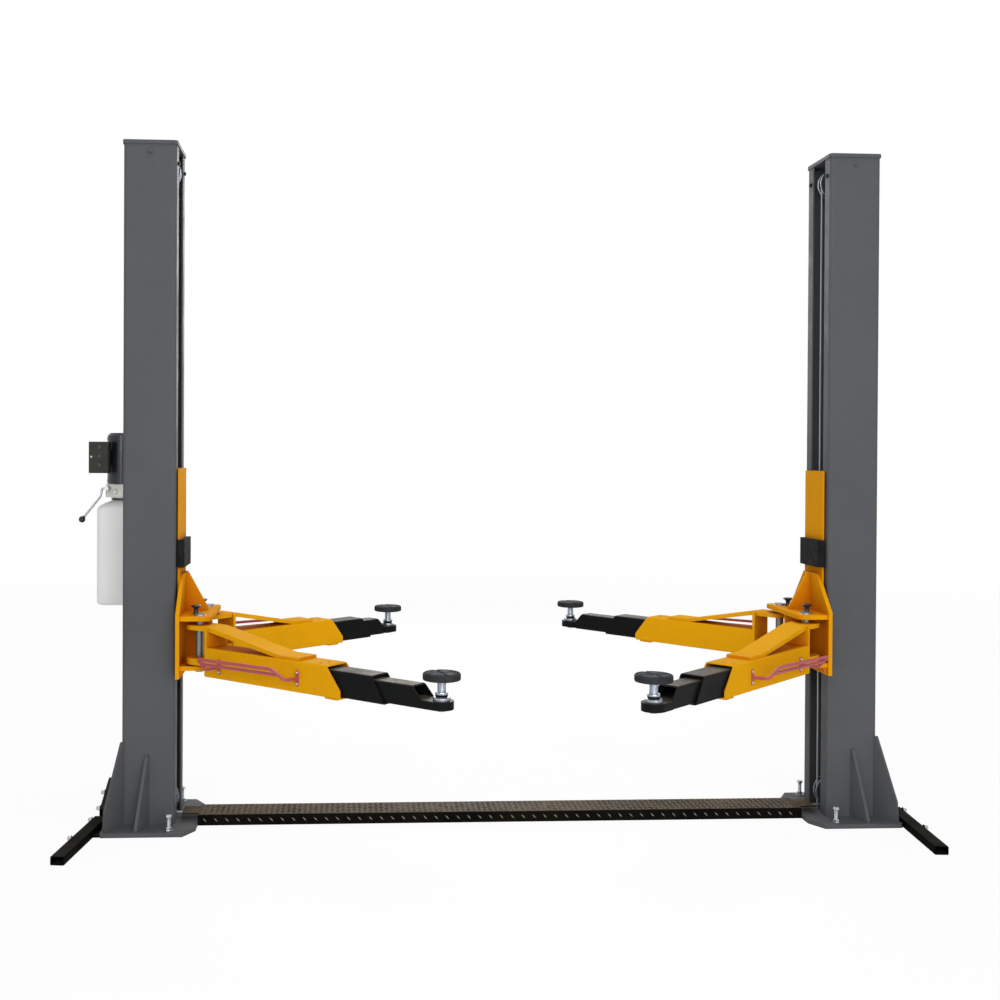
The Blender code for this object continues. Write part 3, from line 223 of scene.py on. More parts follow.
# Studio, with lamps as name, place, target, width and power
FLOOR_REACH = 40.0
FLOOR_COLOUR = (0.93, 0.93, 0.93, 1.0)
FLOOR_WHITE = 0.93
FADE_START = 2.5
FADE_STOP = 12.0
WORLD_LIGHT = 0.32
LAMPS = (
    ("key", (-1.4, -6.6, 3.0), (0, 0, 1.1), 3.6, 150),
    ("fill", (1.8, -6.2, 2.0), (0, 0, 1.0), 3.6, 115),
    ("top", (0.0, -1.0, 6.2), (0, 0, 0.8), 4.0, 120),
    ("back", (0.5, 5.2, 3.6), (0, 0, 1.2), 3.6, 150),
)


def hex_colour(text):
    """A linear colour from six hexadecimal digits of a display colour."""
    channels = []
    for start in (0, 2, 4):
        value = int(text[start:start + 2], 16) / 255
        linear = value / 12.92 if value <= 0.04045 else ((value + 0.055) / 1.055) ** 2.4
        channels.append(linear)
    return channels


def scaled(colour, factor, lift=0.0):
    """A lighter or darker shade of a colour."""
    return [min(1.0, channel * factor + lift) for channel in colour]


class Surface:
    """A Principled material with object-space noise for its colour, gloss and relief."""

    def __init__(self, name, colour, roughness, metallic=0.0, specular=0.5):
        self.material = bpy.data.materials.new(name)
        self.material.use_nodes = True
        self.nodes = self.material.node_tree.nodes
        self.links = self.material.node_tree.links
        self.shader = self.nodes["Principled BSDF"]
        self.shader.inputs["Base Color"].default_value = (*colour, 1.0)
        self.shader.inputs["Roughness"].default_value = roughness
        self.shader.inputs["Metallic"].default_value = metallic
        self.shader.inputs["Specular IOR Level"].default_value = specular
        self.colour = colour
        self.place = self.nodes.new("ShaderNodeTexCoord").outputs["Object"]
        self.relief = None

    def noise(self, scale, detail=3.0, roughness=0.55):
        """Cloudy values over the object's own space."""
        texture = self.nodes.new("ShaderNodeTexNoise")
        texture.inputs["Scale"].default_value = scale
        texture.inputs["Detail"].default_value = detail
        texture.inputs["Roughness"].default_value = roughness
        self.links.new(self.place, texture.inputs["Vector"])
        return texture.outputs["Fac"]

    def spread(self, source, low, high, start=0.35, stop=0.65):
        """A value from low to high as the source goes from start to stop."""
        mapped = self.nodes.new("ShaderNodeMapRange")
        mapped.inputs["From Min"].default_value = start
        mapped.inputs["From Max"].default_value = stop
        mapped.inputs["To Min"].default_value = low
        mapped.inputs["To Max"].default_value = high
        self.links.new(source, mapped.inputs["Value"])
        return mapped.outputs["Result"]

    def tint(self, source, colour, most, start=0.4, stop=0.7):
        """Blend the base colour towards another one where the source is high."""
        mix = self.nodes.new("ShaderNodeMix")
        mix.data_type = "RGBA"
        base = self.shader.inputs["Base Color"]
        if base.is_linked:
            self.links.new(base.links[0].from_socket, mix.inputs["A"])
        else:
            mix.inputs["A"].default_value = (*self.colour, 1.0)
        mix.inputs["B"].default_value = (*colour, 1.0)
        self.links.new(self.spread(source, 0.0, most, start, stop), mix.inputs["Factor"])
        self.links.new(mix.outputs["Result"], base)

    def gloss(self, source, low, high):
        """Roughness between two values, led by the source."""
        self.links.new(self.spread(source, low, high), self.shader.inputs["Roughness"])

    def bump(self, source, distance):
        """Relief on top of what is there already."""
        bump = self.nodes.new("ShaderNodeBump")
        bump.inputs["Strength"].default_value = 1.0
        bump.inputs["Distance"].default_value = distance
        self.links.new(source, bump.inputs["Height"])
        if self.relief:
            self.links.new(self.relief, bump.inputs["Normal"])
        self.relief = bump.outputs["Normal"]
        self.links.new(self.relief, self.shader.inputs["Normal"])

    def painted_top_reflection(self, colour, most):
        """Painted reflection: another colour on faces that look upwards, in soft patches."""
        flat = self.nodes.new("ShaderNodeNewGeometry")
        parts = self.nodes.new("ShaderNodeSeparateXYZ")
        self.links.new(flat.outputs["Normal"], parts.inputs["Vector"])
        top_reflection_share = self.nodes.new("ShaderNodeMath")
        top_reflection_share.operation = "MULTIPLY"
        self.links.new(self.spread(parts.outputs["Z"], 0.0, 1.0, 0.6, 0.95), top_reflection_share.inputs[0])
        self.links.new(self.spread(self.noise(9, 5, 0.6), 0.35, 1.0), top_reflection_share.inputs[1])
        self.tint(top_reflection_share.outputs["Value"], colour, most, 0.0, 1.0)

    def painted_recess_shade(self, colour, most, distance=0.16):
        """Painted shade: deepen the colour where other faces stand close by, as shade falls in recesses."""
        occlusion = self.nodes.new("ShaderNodeAmbientOcclusion")
        occlusion.samples = 4
        occlusion.inputs["Distance"].default_value = distance
        recess_shade = self.spread(occlusion.outputs["AO"], 1.0, 0.0, 0.30, 0.88)
        self.tint(recess_shade, colour, most, 0.0, 1.0)

    def worn_and_highlit_edges(self, colour, most, radius=0.003):
        """Lighten corners, partly as rubbed wear and partly as a painted highlight, found by how far a
        rounded normal turns from the flat one.
        """
        rounded = self.nodes.new("ShaderNodeBevel")
        rounded.samples = 4
        rounded.inputs["Radius"].default_value = radius
        flat = self.nodes.new("ShaderNodeNewGeometry")
        product = self.nodes.new("ShaderNodeVectorMath")
        product.operation = "DOT_PRODUCT"
        self.links.new(rounded.outputs["Normal"], product.inputs[0])
        self.links.new(flat.outputs["Normal"], product.inputs[1])
        edge = self.spread(product.outputs["Value"], 1.0, 0.0, 0.80, 0.98)
        edge_wear_and_highlight = self.nodes.new("ShaderNodeMath")
        edge_wear_and_highlight.operation = "MULTIPLY"
        self.links.new(edge, edge_wear_and_highlight.inputs[0])
        self.links.new(self.spread(self.noise(60, 4), 0.0, 1.0, 0.45, 0.62), edge_wear_and_highlight.inputs[1])
        self.tint(edge_wear_and_highlight.outputs["Value"], colour, most, 0.0, 1.0)


def painted(name, colour, roughness, dust=0.10, edge=0.25, specular=0.2, top=None, deep=None):
    """Sprayed paint: orange peel, slight colour drift, faint dust, edges lightened as rubbed wear and
    painted highlight, and where asked a painted top reflection and painted recess shade.
    """
    surface = Surface(name, colour, roughness, specular=specular)
    surface.tint(surface.noise(2.5, 5), scaled(colour, 0.86), 0.6)
    surface.tint(surface.noise(14, 6, 0.65), scaled(colour, 1.10, 0.002), dust * 3)
    # Painted reflection on upward faces, in the top colour
    if top:
        surface.painted_top_reflection(top, 0.85)
    # Painted shade in recesses, in the deep colour
    if deep:
        surface.painted_recess_shade(deep, 0.9)
    # Edges lightened partly as rubbed wear and partly as a painted highlight
    surface.worn_and_highlit_edges(scaled(colour, 1.3, 0.04), edge)
    surface.gloss(surface.noise(7, 5), roughness - 0.06, roughness + 0.09)
    surface.bump(surface.noise(420, 2), 0.00012)
    return surface.material


def zinc(name, colour=(0.46, 0.48, 0.51), roughness=0.32, metallic=1.0):
    """Bright zinc plate with soft spangle and fine turning marks."""
    surface = Surface(name, colour, roughness, metallic=metallic)
    surface.tint(surface.noise(60, 4), scaled(colour, 0.72), 0.4)
    surface.gloss(surface.noise(40, 4), roughness - 0.08, roughness + 0.14)
    surface.bump(surface.noise(260, 3), 0.00008)
    return surface.material


def rubber(name, colour, roughness=0.72):
    """Moulded rubber: dull, dusty, finely pitted."""
    surface = Surface(name, colour, roughness, specular=0.06)
    surface.tint(surface.noise(22, 6, 0.7), scaled(colour, 1.8, 0.006), 0.6)
    surface.gloss(surface.noise(30, 4), roughness - 0.12, roughness + 0.12)
    surface.bump(surface.noise(600, 3), 0.00018)
    return surface.material


def plastic(name, colour, roughness):
    """Moulded plastic with a fine grain."""
    surface = Surface(name, colour, roughness, specular=0.3)
    surface.tint(surface.noise(9, 5), scaled(colour, 0.86), 0.5)
    surface.gloss(surface.noise(25, 4), roughness - 0.05, roughness + 0.08)
    surface.bump(surface.noise(500, 2), 0.0001)
    return surface.material


def tread_steel(name):
    """Dark oiled tread plate with brown rust bloom on it, and a painted brown reflection on its upward
    faces.
    """
    surface = Surface(name, hex_colour("0C0B09"), 0.6, specular=0.010)
    surface.tint(surface.noise(6, 6, 0.7), hex_colour("1F1A15"), 0.5)
    # Painted brown reflection on the upward faces
    surface.painted_top_reflection(hex_colour("5C4E3A"), 0.95)
    surface.tint(surface.noise(80, 4), hex_colour("151514"), 0.5)
    surface.gloss(surface.noise(30, 5), 0.30, 0.55)
    surface.bump(surface.noise(300, 3), 0.00012)
    return surface.material


def milky_plastic(name):
    """Blow-moulded translucent polyethylene, white with a cool shade."""
    surface = Surface(name, hex_colour("EEEEED"), 0.42)
    surface.shader.inputs["Subsurface Weight"].default_value = 0.25
    surface.shader.inputs["Subsurface Radius"].default_value = (0.02, 0.02, 0.02)
    surface.shader.inputs["Subsurface Scale"].default_value = 0.5
    surface.tint(surface.noise(5, 3), hex_colour("E2E3E3"), 0.6)
    surface.gloss(surface.noise(18, 4), 0.36, 0.5)
    surface.bump(surface.noise(90, 3), 0.0002)
    return surface.material


def wire_rope(name):
    """Galvanised strands, drawn as diagonal ridges along the rope."""
    surface = Surface(name, (0.50, 0.55, 0.58), 0.42, metallic=0.7)
    wave = surface.nodes.new("ShaderNodeTexWave")
    wave.bands_direction = "DIAGONAL"
    wave.inputs["Scale"].default_value = 95
    surface.links.new(surface.place, wave.inputs["Vector"])
    surface.tint(wave.outputs["Fac"], (0.16, 0.18, 0.19), 0.7, 0.2, 0.6)
    surface.gloss(surface.noise(60, 3), 0.30, 0.5)
    surface.bump(wave.outputs["Fac"], 0.0004)
    return surface.material


CHARCOAL = hex_colour("535558")
# The carriage's yellow is a little deeper than the arms': painted shade, for the columns' shade on the
# carriage
CARRIAGE_SHADED_YELLOW = hex_colour("DE980A")
ARM_YELLOW = hex_colour("E0A00E")
# Painted shade for the recesses of the carriages and arms
RECESS_SHADE_ORANGE = hex_colour("B85C06")
BLACK = hex_colour("101112")
# Painted reflection of the room on the black parts' upward faces
TOP_REFLECTION = hex_colour("524B3E")

SURFACES = {
    "column": painted("column_finish", CHARCOAL, 0.55, specular=0.10),
    "carriage": painted("carriage_finish", CARRIAGE_SHADED_YELLOW, 0.60, dust=0.05, edge=0.12, specular=0.015,
                        deep=RECESS_SHADE_ORANGE),
    "arm": painted("arm_finish", ARM_YELLOW, 0.60, dust=0.05, edge=0.12, specular=0.015, deep=RECESS_SHADE_ORANGE),
    # Black parts: a painted reflection on their upward faces, and edges lightened as wear and as painted
    # highlight
    "black": painted("black_finish", BLACK, 0.45, dust=0.10, edge=0.8, specular=0.06, top=TOP_REFLECTION),
    # Outriggers: a painted reflection on their upward faces, in the top colour
    "outrigger": painted("outrigger_finish", hex_colour("080807"), 0.60, dust=0.02, edge=0.3,
                         specular=0.008, top=hex_colour("2B2925")),
    "motor": painted("motor_finish", hex_colour("191B22"), 0.26, edge=0.3, specular=0.45),
    "guard": painted("guard_finish", hex_colour("A84C52"), 0.42, dust=0.08, edge=0.3, specular=0.35),
    "box": plastic("box_finish", hex_colour("202219"), 0.52),
    # Pulleys: strongly lightened edges, partly wear and partly painted highlight
    "pulley": painted("pulley_finish", hex_colour("30373E"), 0.40, edge=0.9, specular=0.4),
    "zinc": zinc("zinc_finish"),
    "screw": zinc("screw_finish", (0.34, 0.38, 0.43), 0.30, 0.85),
    "pin": zinc("pin_finish", (0.22, 0.25, 0.24), 0.34, 0.8),
    "pump": zinc("pump_finish", (0.62, 0.61, 0.57), 0.5, 0.35),
    "rubber": rubber("rubber_finish", hex_colour("2B2C2E")),
    "bumper": rubber("bumper_finish", hex_colour("161718"), 0.75),
    "knob": plastic("knob_finish", hex_colour("20262E"), 0.34),
    "tank": milky_plastic("tank_finish"),
    "tread": tread_steel("tread_finish"),
    # Tread bars: a lighter grey than the plate as a painted highlight, and a painted brown reflection on
    # their tops
    "bars": painted("bar_highlight_finish", hex_colour("77776F"), 0.42, dust=0.2, edge=0.5, specular=0.1,
                    top=hex_colour("665241")),
    "rope": wire_rope("rope_finish"),
}

NODE_SURFACES = {
    "column": "column", "cap": "column", "base": "column", "outrigger": "outrigger", "pulley": "pulley",
    "cover": "tread", "cable": "rope", "carriage": "carriage", "bumper": "bumper", "arm": "arm",
    "guard": "guard", "tube": "black", "screw": "zinc", "pad": "rubber", "pin": "pin", "knob": "knob",
    "motor": "motor", "block": "pump", "tank": "tank", "box": "box", "lever": "motor",
}

# How far a node's corners are softened, in metres
SOFT_CORNERS = {"base": 0.0015, "outrigger": 0.0012, "carriage": 0.0016, "arm": 0.0018, "tube": 0.0012,
                "cover": 0.0010, "bumper": 0.0025, "pad": 0.0012, "block": 0.0015}


def dress_nodes():
    """Give every node its finish, and soft corners where the real piece has them."""
    for name, node in nodes.items():
        word = name.split("_")[-1]
        node.data.materials.clear()
        node.data.materials.append(SURFACES[NODE_SURFACES[word]])
        if word in SOFT_CORNERS:
            soften(node, SOFT_CORNERS[word])


def soften(obj, width):
    """Round an object's sharp corners in two steps."""
    bevel = obj.modifiers.new("soft_corners", "BEVEL")
    bevel.width = width
    bevel.segments = 2
    bevel.limit_method = "ANGLE"
    bevel.angle_limit = math.radians(50)
    bevel.harden_normals = True


def add_piece(name, shape, surface, body, smooth=40):
    """Turn a finished bmesh into a piece that rides on a body."""
    bmesh.ops.recalc_face_normals(shape, faces=shape.faces)
    mesh = bpy.data.meshes.new(name)
    shape.to_mesh(mesh)
    shape.free()
    mesh.materials.append(SURFACES[surface])
    mesh.shade_smooth()
    mesh.set_sharp_from_angle(angle=math.radians(smooth))
    piece = bpy.data.objects.new(name, mesh)
    bpy.context.scene.collection.objects.link(piece)
    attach(piece, body)
    return piece


def facing(place, direction):
    """A frame at place whose Z points along direction."""
    turn = Vector((0, 0, 1)).rotation_difference(Vector(direction)).to_matrix().to_4x4()
    return Matrix.Translation(Vector(place)) @ turn


def skin(shape, rings, segments):
    """Faces between rings that have a vertex a step, or one vertex where they close to a point."""
    for low, high in zip(rings, rings[1:]):
        for step in range(segments):
            following = (step + 1) % segments
            corners = [low[step % len(low)], low[following % len(low)]]
            corners += [high[following % len(high)], high[step % len(high)]]
            distinct = list(dict.fromkeys(corners))
            if len(distinct) > 2:
                shape.faces.new(distinct)


def lathe(shape, profile, matrix, segments=24):
    """Add a turned solid to a bmesh, from (radius, height) pairs that end on the axis or meet."""
    rings = []
    for radius, height in profile:
        if radius < WELD_DISTANCE:
            rings.append([shape.verts.new(matrix @ Vector((0, 0, height)))])
            continue
        ring = []
        for step in range(segments):
            angle = 2 * math.pi * step / segments
            spot = Vector((radius * math.cos(angle), radius * math.sin(angle), height))
            ring.append(shape.verts.new(matrix @ spot))
        rings.append(ring)
    skin(shape, rings, segments)


def ring_profile(inner, outer, low, high):
    """The profile of a flat ring, for a lathe and a weld."""
    return [(inner, low), (outer, low), (outer, high), (inner, high), (inner, low)]


def weld(shape):
    """Join the first and last turns of profiles that meet."""
    bmesh.ops.remove_doubles(shape, verts=shape.verts, dist=WELD_DISTANCE)


def add_bolt(shape, place, direction, head, thickness):
    """A hexagon head with a chamfered crown, on a washer."""
    matrix = facing(place, direction)
    rim = head * WASHER_RATIO
    base = WASHER_THICKNESS
    lathe(shape, [(0, 0), (rim, 0), (rim, base), (0, base)], matrix)
    top = base + thickness
    flank = top - thickness * BOLT_CHAMFER_SHARE
    crown = head * BOLT_CROWN_RATIO
    lathe(shape, [(0, base), (head, base), (head, flank), (crown, top), (0, top)], matrix, 6)


def bolts(name, places, surface, size):
    """One piece of equal bolts on the frame."""
    shape = bmesh.new()
    for place, direction in places:
        add_bolt(shape, place, direction, *size)
    add_piece(name, shape, surface, "frame", 30)


def add_anchor(shape, place):
    """An expansion anchor: washer and nut on the plate, a threaded stud and a head above."""
    matrix = facing(place, (0, 0, 1))
    head = ANCHOR_HEAD
    rim = head * ANCHOR_WASHER_RATIO
    washer = ANCHOR_WASHER_THICKNESS
    lathe(shape, [(0, 0), (rim, 0), (rim, washer), (0, washer)], matrix)
    nut = washer + ANCHOR_NUT
    flank = nut - ANCHOR_CHAMFER
    crown = head * ANCHOR_NUT_CROWN
    lathe(shape, [(0, washer), (head, washer), (head, flank), (crown, nut), (0, nut)], matrix, 6)
    top = ANCHOR_HEIGHT
    under_head = top - ANCHOR_HEAD_THICKNESS
    profile = [(0, nut - ANCHOR_CHAMFER / 2)]
    height = nut
    while height < under_head:
        profile += [(ANCHOR_RADIUS, height), (ANCHOR_RADIUS * ANCHOR_ROOT_RATIO, height + ANCHOR_PITCH / 2)]
        height += ANCHOR_PITCH
    profile += [(ANCHOR_RADIUS, height), (0, height)]
    lathe(shape, profile, matrix)
    flank = top - ANCHOR_CHAMFER
    crown = head * ANCHOR_HEAD_CROWN
    lathe(shape, [(0, under_head), (head, under_head), (head, flank), (crown, top), (0, top)], matrix, 6)


def build_column_fasteners():
    """Painted cap bolts on the flanges, bolts on the lips and anchors on the base plates."""
    for word, side in SIDES.items():
        low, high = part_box(word + "_column")
        middle = (low.x + high.x) / 2
        under_cap = high.z - CAP_BOLT_DROP
        places = [((middle, low.y, under_cap), (0, -1, 0)), ((middle, high.y, under_cap), (0, 1, 0))]
        bolts(word + "_cap_bolts", places, "column", CAP_BOLT)
        inner = low.x if side > 0 else high.x
        on_lip = high.z - LIP_BOLT_DROP
        places = [((inner, y, on_lip), (-side, 0, 0)) for y in (-LIP_BOLT_OFFSET, LIP_BOLT_OFFSET)]
        bolts(word + "_lip_bolts", places, "black", LIP_BOLT)

        shape = bmesh.new()
        for end in (-1, 1):
            add_anchor(shape, (side * ANCHOR_PLACE[0], end * ANCHOR_PLACE[1], low.z))
        add_piece(word + "_anchors", shape, "zinc", "frame", 30)


def outrigger_offset(word, reach):
    """How far an outrigger's centre line lies outside the base plate, at a distance from the middle."""
    (near_offset, near), (far_offset, far) = OUTRIGGER_LINE[word]
    return near_offset + (far_offset - near_offset) * (reach - near) / (far - near)


def build_outrigger_details():
    """Two bolts through each outrigger's outer wall, and the small web that ties it to the base."""
    for word, side in SIDES.items():
        base_low, base_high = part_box(word + "_base")
        edge = max(abs(base_low.x), abs(base_high.x))
        for end, row in ((-1, "front"), (1, "rear")):
            places = []
            for reach in OUTRIGGER_BOLTS:
                wall = edge + outrigger_offset(word, reach) + OUTRIGGER_HALF - OUTRIGGER_BOLT_SINK
                places.append(((side * wall, end * reach, OUTRIGGER_BOLT_HEIGHT), (side, 0, 0)))
            name = row + "_" + word + "_outrigger"
            bolts(name + "_bolts", places, "zinc", OUTRIGGER_BOLT)

            outline = [(WEB_BASE_GAP, reach) for reach in OUTRIGGER_WEB]
            for reach in reversed(OUTRIGGER_WEB):
                wall = outrigger_offset(word, reach) - OUTRIGGER_HALF - WEB_OUTRIGGER_GAP
                outline.append((wall, reach))
            shape = bmesh.new()
            rings = []
            for z in (0.0, WEB_THICKNESS):
                rings.append([shape.verts.new((side * (edge + x), end * y, z)) for x, y in outline])
            close_rings(shape, rings)
            add_piece(name + "_web", shape, "outrigger", "frame", 30)


def close_rings(shape, rings):
    """Skin between rings of equal length, and a face over each end."""
    for ring, following in zip(rings, rings[1:]):
        for step in range(len(ring)):
            side = (step + 1) % len(ring)
            shape.faces.new([ring[step], ring[side], following[side], following[step]])
    shape.faces.new(list(reversed(rings[0])))
    shape.faces.new(rings[-1])


def add_tread(shape, place, across, along, normal):
    """One raised bar of the tread pattern, with sloping sides."""
    half = TREAD_LENGTH / 2
    wide = TREAD_WIDTH / 2
    base = [place + along * half, place + across * wide, place - along * half, place - across * wide]
    crown = [place + normal * TREAD_RISE + (corner - place) * TREAD_CROWN_SHARE for corner in base]
    low = [shape.verts.new(corner) for corner in base]
    high = [shape.verts.new(corner) for corner in crown]
    shape.faces.new(high)
    for step in range(4):
        following = (step + 1) % 4
        shape.faces.new([low[step], low[following], high[following], high[step]])
    shape.faces.new(list(reversed(low)))


def build_tread():
    """Diagonal bars on the floor cover: both ways on its top, one way on its sides."""
    low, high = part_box("floor_cover")
    reach = min(abs(low.x), abs(high.x)) - TREAD_END_MARGIN
    shape = bmesh.new()
    faces = [
        (Vector((0, 0, high.z)), Vector((0, 1, 0)), Vector((0, 0, 1)), high.y - low.y, 1),
        (Vector((0, low.y, 0)), Vector((0, 0, 1)), Vector((0, -1, 0)), high.z - low.z, 2),
        (Vector((0, high.y, 0)), Vector((0, 0, 1)), Vector((0, 1, 0)), high.z - low.z, 2),
    ]
    for origin, up, normal, height, spacing in faces:
        step = TREAD_STEP * spacing
        rows = max(1, int(height / TREAD_STEP / spacing))
        middle = (low.y + high.y) / 2 if normal.z else high.z / 2
        for row in range(rows):
            offset = middle + (row - (rows - 1) / 2) * step
            for column in range(int(2 * reach / step)):
                x = -reach + (column + 0.5) * step
                lean = 1 if spacing == 1 and (row + column) % 2 else -1
                along = (Vector((1, 0, 0)) + up * lean).normalized()
                across = normal.cross(along)
                place = origin + up * offset + Vector((x, 0, 0))
                add_tread(shape, place - normal * TREAD_SINK, across, along, normal)
    add_piece("tread_bars", shape, "bars", "frame", 20)


def build_power_details():
    """Box knockouts and switch, motor bands and pump fittings."""
    low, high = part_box("control_box")
    size = high - low
    shape = bmesh.new()
    for step in (-1, 0, 1):
        share = KNOCKOUT_MIDDLE + KNOCKOUT_STEP * step
        place = (low.x + size.x * KNOCKOUT_ACROSS, low.y, low.z + size.z * share)
        lathe(shape, KNOCKOUT, facing(place, (0, -1, 0)))
    add_piece("box_knockouts", shape, "motor", "frame")
    shape = bmesh.new()
    place = (low.x + SWITCH_INSET, low.y, low.z + size.z * SWITCH_HEIGHT)
    lathe(shape, SWITCH, facing(place, (0, -1, 0)))
    add_piece("box_switch", shape, "tank", "frame")

    low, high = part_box("motor")
    centre = (low + high) / 2
    radius = (high.x - low.x) / 2
    band = ring_profile(radius - BAND_DEPTH, radius + BAND_RISE, -BAND_HALF, BAND_HALF)
    shape = bmesh.new()
    for height in (low.z + BAND_LOW, high.z - BAND_HIGH):
        lathe(shape, band, Matrix.Translation((centre.x, centre.y, height)), 48)
    weld(shape)
    add_piece("motor_bands", shape, "motor", "frame", 30)

    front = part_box("pump_block")[0].y + FITTING_DEPTH
    shape = bmesh.new()
    for x, z, radius in FITTINGS:
        add_bolt(shape, (x, front, z), (0, -1, 0), radius, FITTING_LENGTH)
    add_piece("pump_fittings", shape, "pump", "frame", 30)


def build_tank():
    """The oil tank: rounded walls, a sloping shoulder, a soft foot and a dark clamp round its neck."""
    low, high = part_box("oil_tank")
    centre = (low + high) / 2
    levels = [(low.z + up, half, corner) for up, half, corner in TANK_FOOT]
    levels += [(high.z - down, half, corner) for down, half, corner in TANK_SHOULDER]
    shape = bmesh.new()
    rings = []
    for z, half, corner in levels:
        deep = max(half - TANK_FLATTENING, corner + TANK_SPARE)
        ring = []
        for turn, (across, along) in enumerate(((1, 1), (-1, 1), (-1, -1), (1, -1))):
            for step in range(TANK_CORNER_STEPS + 1):
                angle = math.pi / 2 * (turn + step / TANK_CORNER_STEPS)
                x = across * (half - corner) + corner * math.cos(angle)
                y = along * (deep - corner) + corner * math.sin(angle)
                ring.append(shape.verts.new((centre.x + x, centre.y + y, z)))
        rings.append(ring)
    close_rings(shape, rings)
    piece = add_piece("moulded_tank", shape, "tank", "frame", 50)
    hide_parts("oil_tank")
    shape = bmesh.new()
    clamp = ring_profile(*CLAMP_RADII, 0, CLAMP_HEIGHT)
    lathe(shape, clamp, Matrix.Translation((centre.x, centre.y, high.z + CLAMP_LIFT)), 40)
    weld(shape)
    add_piece("tank_clamp", shape, "motor", "frame", 30)


def build_lever():
    """The zinc lowering lever, bent beside its hub, with a black ball."""
    low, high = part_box("release_lever")
    hub = Vector(LEVER_HUB)
    front = low.y + LEVER_BALL
    ball = Vector((low.x + LEVER_BALL, front, low.z + LEVER_BALL))
    bends = [hub, *(hub + Vector(bend) for bend in LEVER_BENDS), ball]
    path = [Vector((spot.x, front, spot.z)) for spot in bends]
    shape = bmesh.new()
    sweep(shape, rounded_path(path, LEVER_BEND_RADIUS), LEVER_ROD)
    length = high.y - front + LEVER_SPINDLE_PROUD
    spindle = [(0, 0), (LEVER_SPINDLE, 0), (LEVER_SPINDLE, length), (0, length)]
    lathe(shape, spindle, facing((hub.x, front - LEVER_SPINDLE_PROUD, hub.z), (0, 1, 0)))
    piece = add_piece("bent_lever", shape, "zinc", "lever", 40)
    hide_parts("release_lever")
    shape = bmesh.new()
    profile = []
    for step in range(BALL_STEPS):
        turn = math.pi * step / BALL_STEPS
        height = -LEVER_BALL * math.cos(turn)
        if height <= BALL_SEAT:
            profile.append((LEVER_BALL * math.sin(turn), height))
    end = BALL_SEAT + FERRULE_LENGTH
    profile += [(FERRULE_RADIUS, BALL_SEAT), (FERRULE_RADIUS * FERRULE_TAPER, end), (0, end)]
    rod = (path[2] - path[3]).normalized()
    lathe(shape, profile, facing(ball, rod), 32)
    add_piece("lever_ball", shape, "knob", "lever", 60)


def build_pulley_rims():
    """Bright rolled edges on the flanges of the four cable pulleys."""
    for word in SIDES:
        for row in ("top", "bottom"):
            low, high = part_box(word + "_" + row + "_pulley")
            centre = (low + high) / 2
            radius = (high.z - low.z) / 2
            rim = ring_profile(radius - RIM_DEPTH, radius + RIM_RISE, 0, RIM_WIDTH)
            shape = bmesh.new()
            for edge in (-1, 1):
                spot = (centre.x, centre.y + edge * PULLEY_EDGE, centre.z)
                lathe(shape, rim, facing(spot, (0, edge, 0)), 48)
            weld(shape)
            add_piece(word + "_" + row + "_pulley_rims", shape, "screw", "frame", 30)


def arm_frame(name):
    """A function from distance along an arm, reach outwards and height to a place."""
    for joint in frame["joints"]:
        if joint["name"] == name + "_swing":
            pivot = Vector(joint["pos_m"])
        if joint["name"] == name + "_middle_slide":
            along = Vector(joint["axis"]).normalized()
    outwards = Vector((-along.y, along.x, 0))
    if outwards.y * pivot.y < 0:
        outwards.negate()

    def place(distance, reach, height):
        spot = pivot + along * distance + outwards * reach
        return Vector((spot.x, spot.y, height))

    return place


def arm_mouth(name):
    """How far an arm's lower lip stands from its pivot."""
    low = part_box(name + "_arm")[0]
    place = arm_frame(name)
    pivot = place(0, 0, 0)
    along = place(1, 0, 0) - pivot
    mesh = nodes[name + "_arm"].data
    lower = [vertex.co for vertex in mesh.vertices if vertex.co.z < low.z + ARM_LOWER_BAND]
    return max((corner - pivot).dot(along) for corner in lower)


def rounded_path(points, corner, steps=5):
    """The same path with its inner corners bent in a curve."""
    path = [points[0]]
    for before, bend, after in zip(points, points[1:], points[2:]):
        start = bend + (before - bend).normalized() * min(corner, (before - bend).length * BEND_SHARE)
        stop = bend + (after - bend).normalized() * min(corner, (after - bend).length * BEND_SHARE)
        for step in range(steps + 1):
            share = step / steps
            path.append(start.lerp(bend, share).lerp(bend.lerp(stop, share), share))
    path.append(points[-1])
    return path


def sweep(shape, path, radius, segments=12):
    """Add a round rod along a path to a bmesh."""
    rings = []
    tangent = (path[1] - path[0]).normalized()
    side = tangent.orthogonal().normalized()
    for index, point in enumerate(path):
        before = path[max(index - 1, 0)]
        after = path[min(index + 1, len(path) - 1)]
        following = (after - before).normalized()
        side = tangent.rotation_difference(following) @ side
        tangent = following
        other = tangent.cross(side)
        ring = []
        for step in range(segments):
            angle = 2 * math.pi * step / segments
            away = side * math.cos(angle) + other * math.sin(angle)
            ring.append(shape.verts.new(point + away * radius))
        rings.append(ring)
    close_rings(shape, rings)


def add_strap(shape, place, distance, height):
    """A flat strap with round ends on the arm's outer wall."""
    rings = []
    for reach in (STRAP_FACE, STRAP_FACE + STRAP_THICKNESS):
        ring = []
        for end in (1, -1):
            for step in range(STRAP_END_STEPS + 1):
                angle = math.pi * (step / STRAP_END_STEPS + (0 if end > 0 else 1))
                x = STRAP_HALF_WIDTH * math.cos(angle)
                z = end * (STRAP_HALF_HEIGHT - STRAP_HALF_WIDTH) + STRAP_HALF_WIDTH * math.sin(angle)
                ring.append(shape.verts.new(place(distance + x, reach, height + z)))
        rings.append(ring)
    close_rings(shape, rings)


